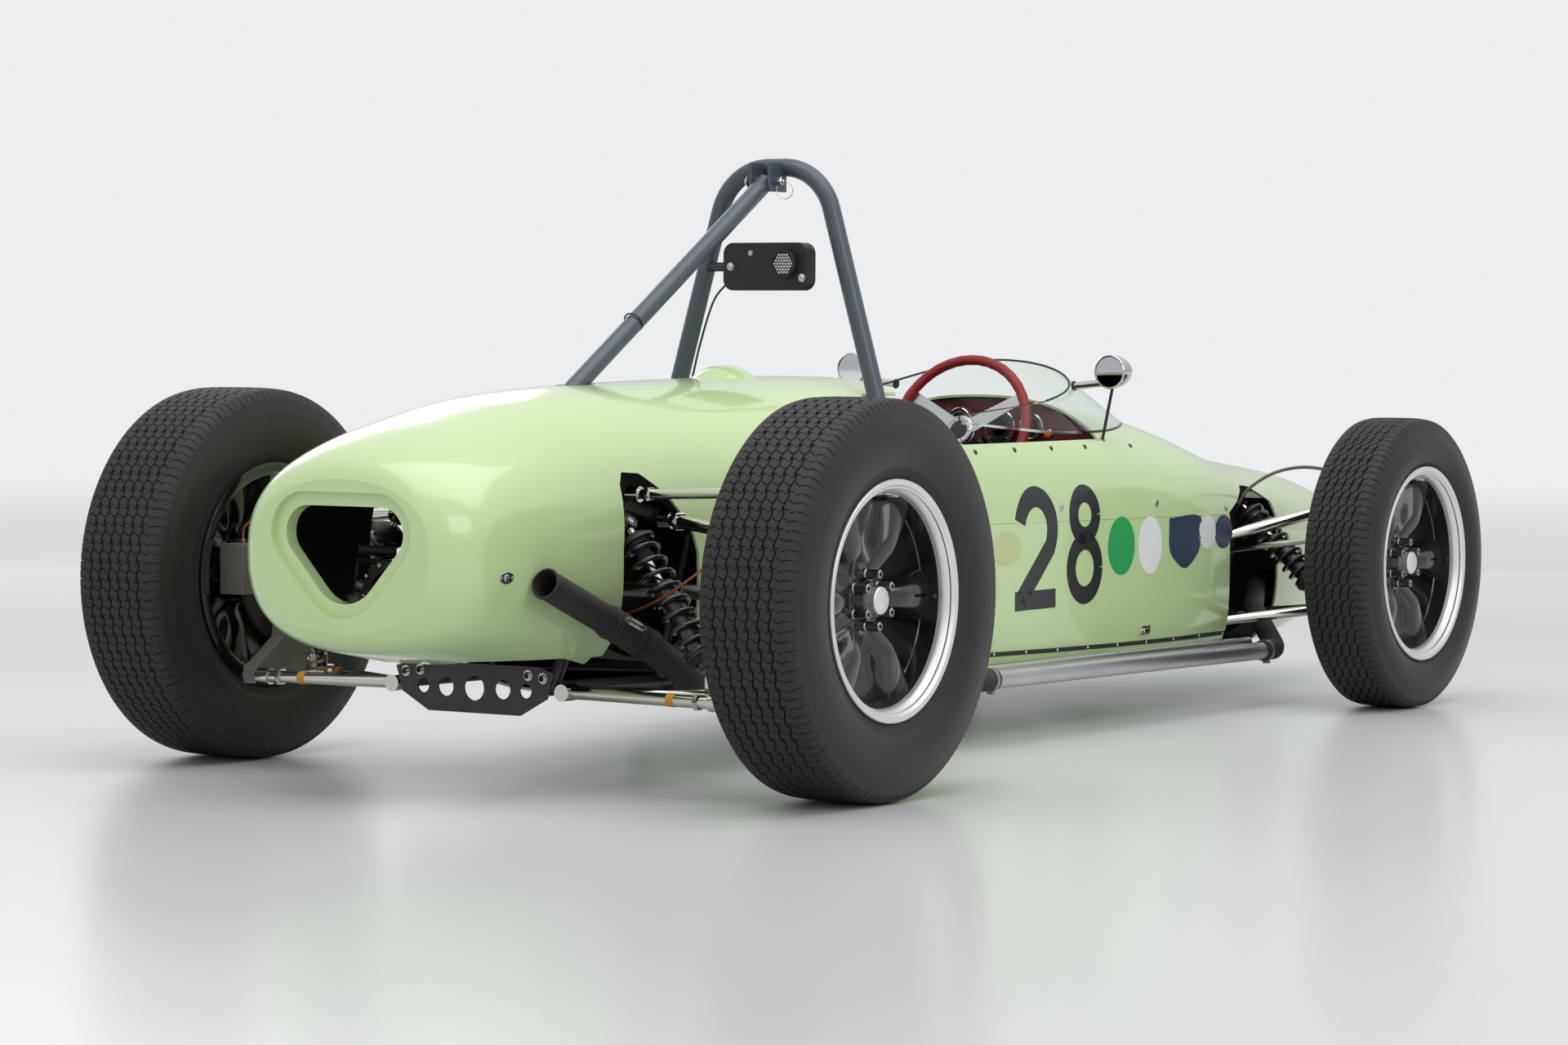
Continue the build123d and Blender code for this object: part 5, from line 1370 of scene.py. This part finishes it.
def sew(pad, line, spacing=58.0, depth=5.0, edge_seam=112.0):
    """Sewn channels across the pad: depth exp(-(d / 5)^2), d from the nearest seam."""
    mesh = pad.data
    co, normal = read_points(mesh).astype(float) / MM, read_points(mesh, "normal")
    order = np.argsort(line[:, 0])
    run = np.concatenate([[0], np.cumsum(np.linalg.norm(np.diff(line, axis=0), axis=1))])
    along = np.interp(co[:, 0], line[order, 0], run[order])
    away = np.abs((along + spacing / 2) % spacing - spacing / 2)
    edge = np.abs(co[:, 1]) - edge_seam
    dip = depth * np.exp(-(away / 5) ** 2) * (edge < 0)
    dip = np.maximum(dip, depth * np.exp(-(edge / 5) ** 2))
    co -= normal * dip[:, None]
    mesh.vertices.foreach_set("co", (co * MM).astype(np.float32).ravel())
    mesh.update()


pad_part, pad_line = pad_shape()
seat_pad = piece("seat_pad", [(pad_part, 0)], [seat_black], "chassis", angle=80)
puffed(seat_pad)
seat_pad.data.materials.clear()
seat_pad.data.materials.append(seat_black)
sew(seat_pad, pad_line)
smoothed(seat_pad.data)
finer = seat_pad.modifiers.new("finer", "SUBSURF")
finer.levels = finer.render_levels = 1


# Camera

look, right, up = camera_axes()
camera = linked("camera", bpy.data.cameras.new("camera"))
camera.data.lens, camera.data.sensor_width = camera_lens, sensor
camera.data.clip_end = 200.0
camera_matrix = np.eye(4)
camera_matrix[:3] = np.stack([right, up, -look, camera_place], 1)
camera.matrix_world = Matrix(camera_matrix.tolist())
bpy.context.scene.camera = camera


# Light, floor and background

background = srgb(236, 238, 240)
fade_start, fade_length = 3.5, 11.0


def area_light(name, place, towards, size, power):
    """A soft rectangular light looking at a point."""
    data = bpy.data.lights.new(name, "AREA")
    data.shape = "RECTANGLE"
    data.size, data.size_y = size
    data.energy = power
    light = linked(name, data)
    light.location = place
    aim = Vector(towards) - Vector(place)
    light.rotation_euler = aim.to_track_quat("-Z", "Y").to_euler()


def floor_finish():
    """A pale polished floor that fades into the background with the distance from the car.

    share = clamp((distance - fade_start) / fade_length): the glow takes that share, and the
    polish is gone by a quarter of it.
    """
    finish = make_finish("pale_floor", (216, 218, 217), (210, 212, 212), 0.2, drift=0.7,
                         rough_drift=0.08, bump=0.0)
    tree = finish.node_tree
    inputs = tree.nodes["Principled BSDF"].inputs
    place = added(tree, "TexCoord").outputs["Object"]
    distance = added(tree, "VectorMath", {0: place}, operation="LENGTH").outputs["Value"]
    past = maths(tree, "SUBTRACT", distance, fade_start)
    share = maths(tree, "DIVIDE", past, fade_length, clamp=True)
    left = maths(tree, "SUBTRACT", 1.0, maths(tree, "MULTIPLY", share, 4.0), clamp=True)
    base = inputs["Base Color"].links[0].from_socket
    feed(tree, inputs["Base Color"], mixed(tree, share, base, (0, 0, 0, 1)))
    feed(tree, inputs["Specular IOR Level"], maths(tree, "MULTIPLY", left, 0.5))
    feed(tree, inputs["Emission Strength"], share)
    feed(tree, inputs["Emission Color"], background)
    return finish


def make_stage():
    """A pale polished floor, pale surroundings and soft light from above."""
    half = 60.0
    flat = np.array([[(-half, -half, 0), (-half, half, 0)], [(half, -half, 0), (half, half, 0)]])
    points, faces = grid(flat)
    mesh = bpy.data.meshes.new("floor")
    mesh.from_pydata(points.tolist(), [], faces.tolist())
    mesh.materials.append(floor_finish())
    linked("floor", mesh)
    world = bpy.data.worlds.new("studio")
    bpy.context.scene.world = world
    world.use_nodes = True
    tree = world.node_tree
    tree.nodes.clear()
    path = added(tree, "LightPath").outputs
    seen_share = maths(tree, "MAXIMUM", path["Is Camera Ray"], path["Is Transmission Ray"])
    way = added(tree, "TexCoord").outputs["Generated"]
    ramp = added(tree, "ValToRGB", {0: added(tree, "SeparateXYZ", {0: way}).outputs[2]})
    ramp.color_ramp.elements[0].color = (0.6, 0.62, 0.64, 1)
    ramp.color_ramp.elements[1].color = (1, 1, 1, 1)
    ramp.color_ramp.elements[1].position = 0.55
    lit = added(tree, "Background", {"Color": ramp.outputs[0], "Strength": 0.85})
    seen = added(tree, "Background", {"Color": background, "Strength": 1.0})
    mix = added(tree, "MixShader", {0: seen_share, 1: lit.outputs[0], 2: seen.outputs[0]})
    added(tree, "OutputWorld", {0: mix.outputs[0]})
    area_light("light_over", (-1.0, -1.0, 4.6), (0, 0, 0.3), (6.0, 4.0), 120)
    area_light("light_side", (-3.5, -6.0, 3.4), (-0.3, 0, 0.4), (4.0, 2.4), 60)
    area_light("light_far", (3.5, 5.5, 3.2), (0, 0, 0.4), (4.0, 2.4), 40)
    bpy.context.scene.view_settings.view_transform = "Standard"


make_stage()
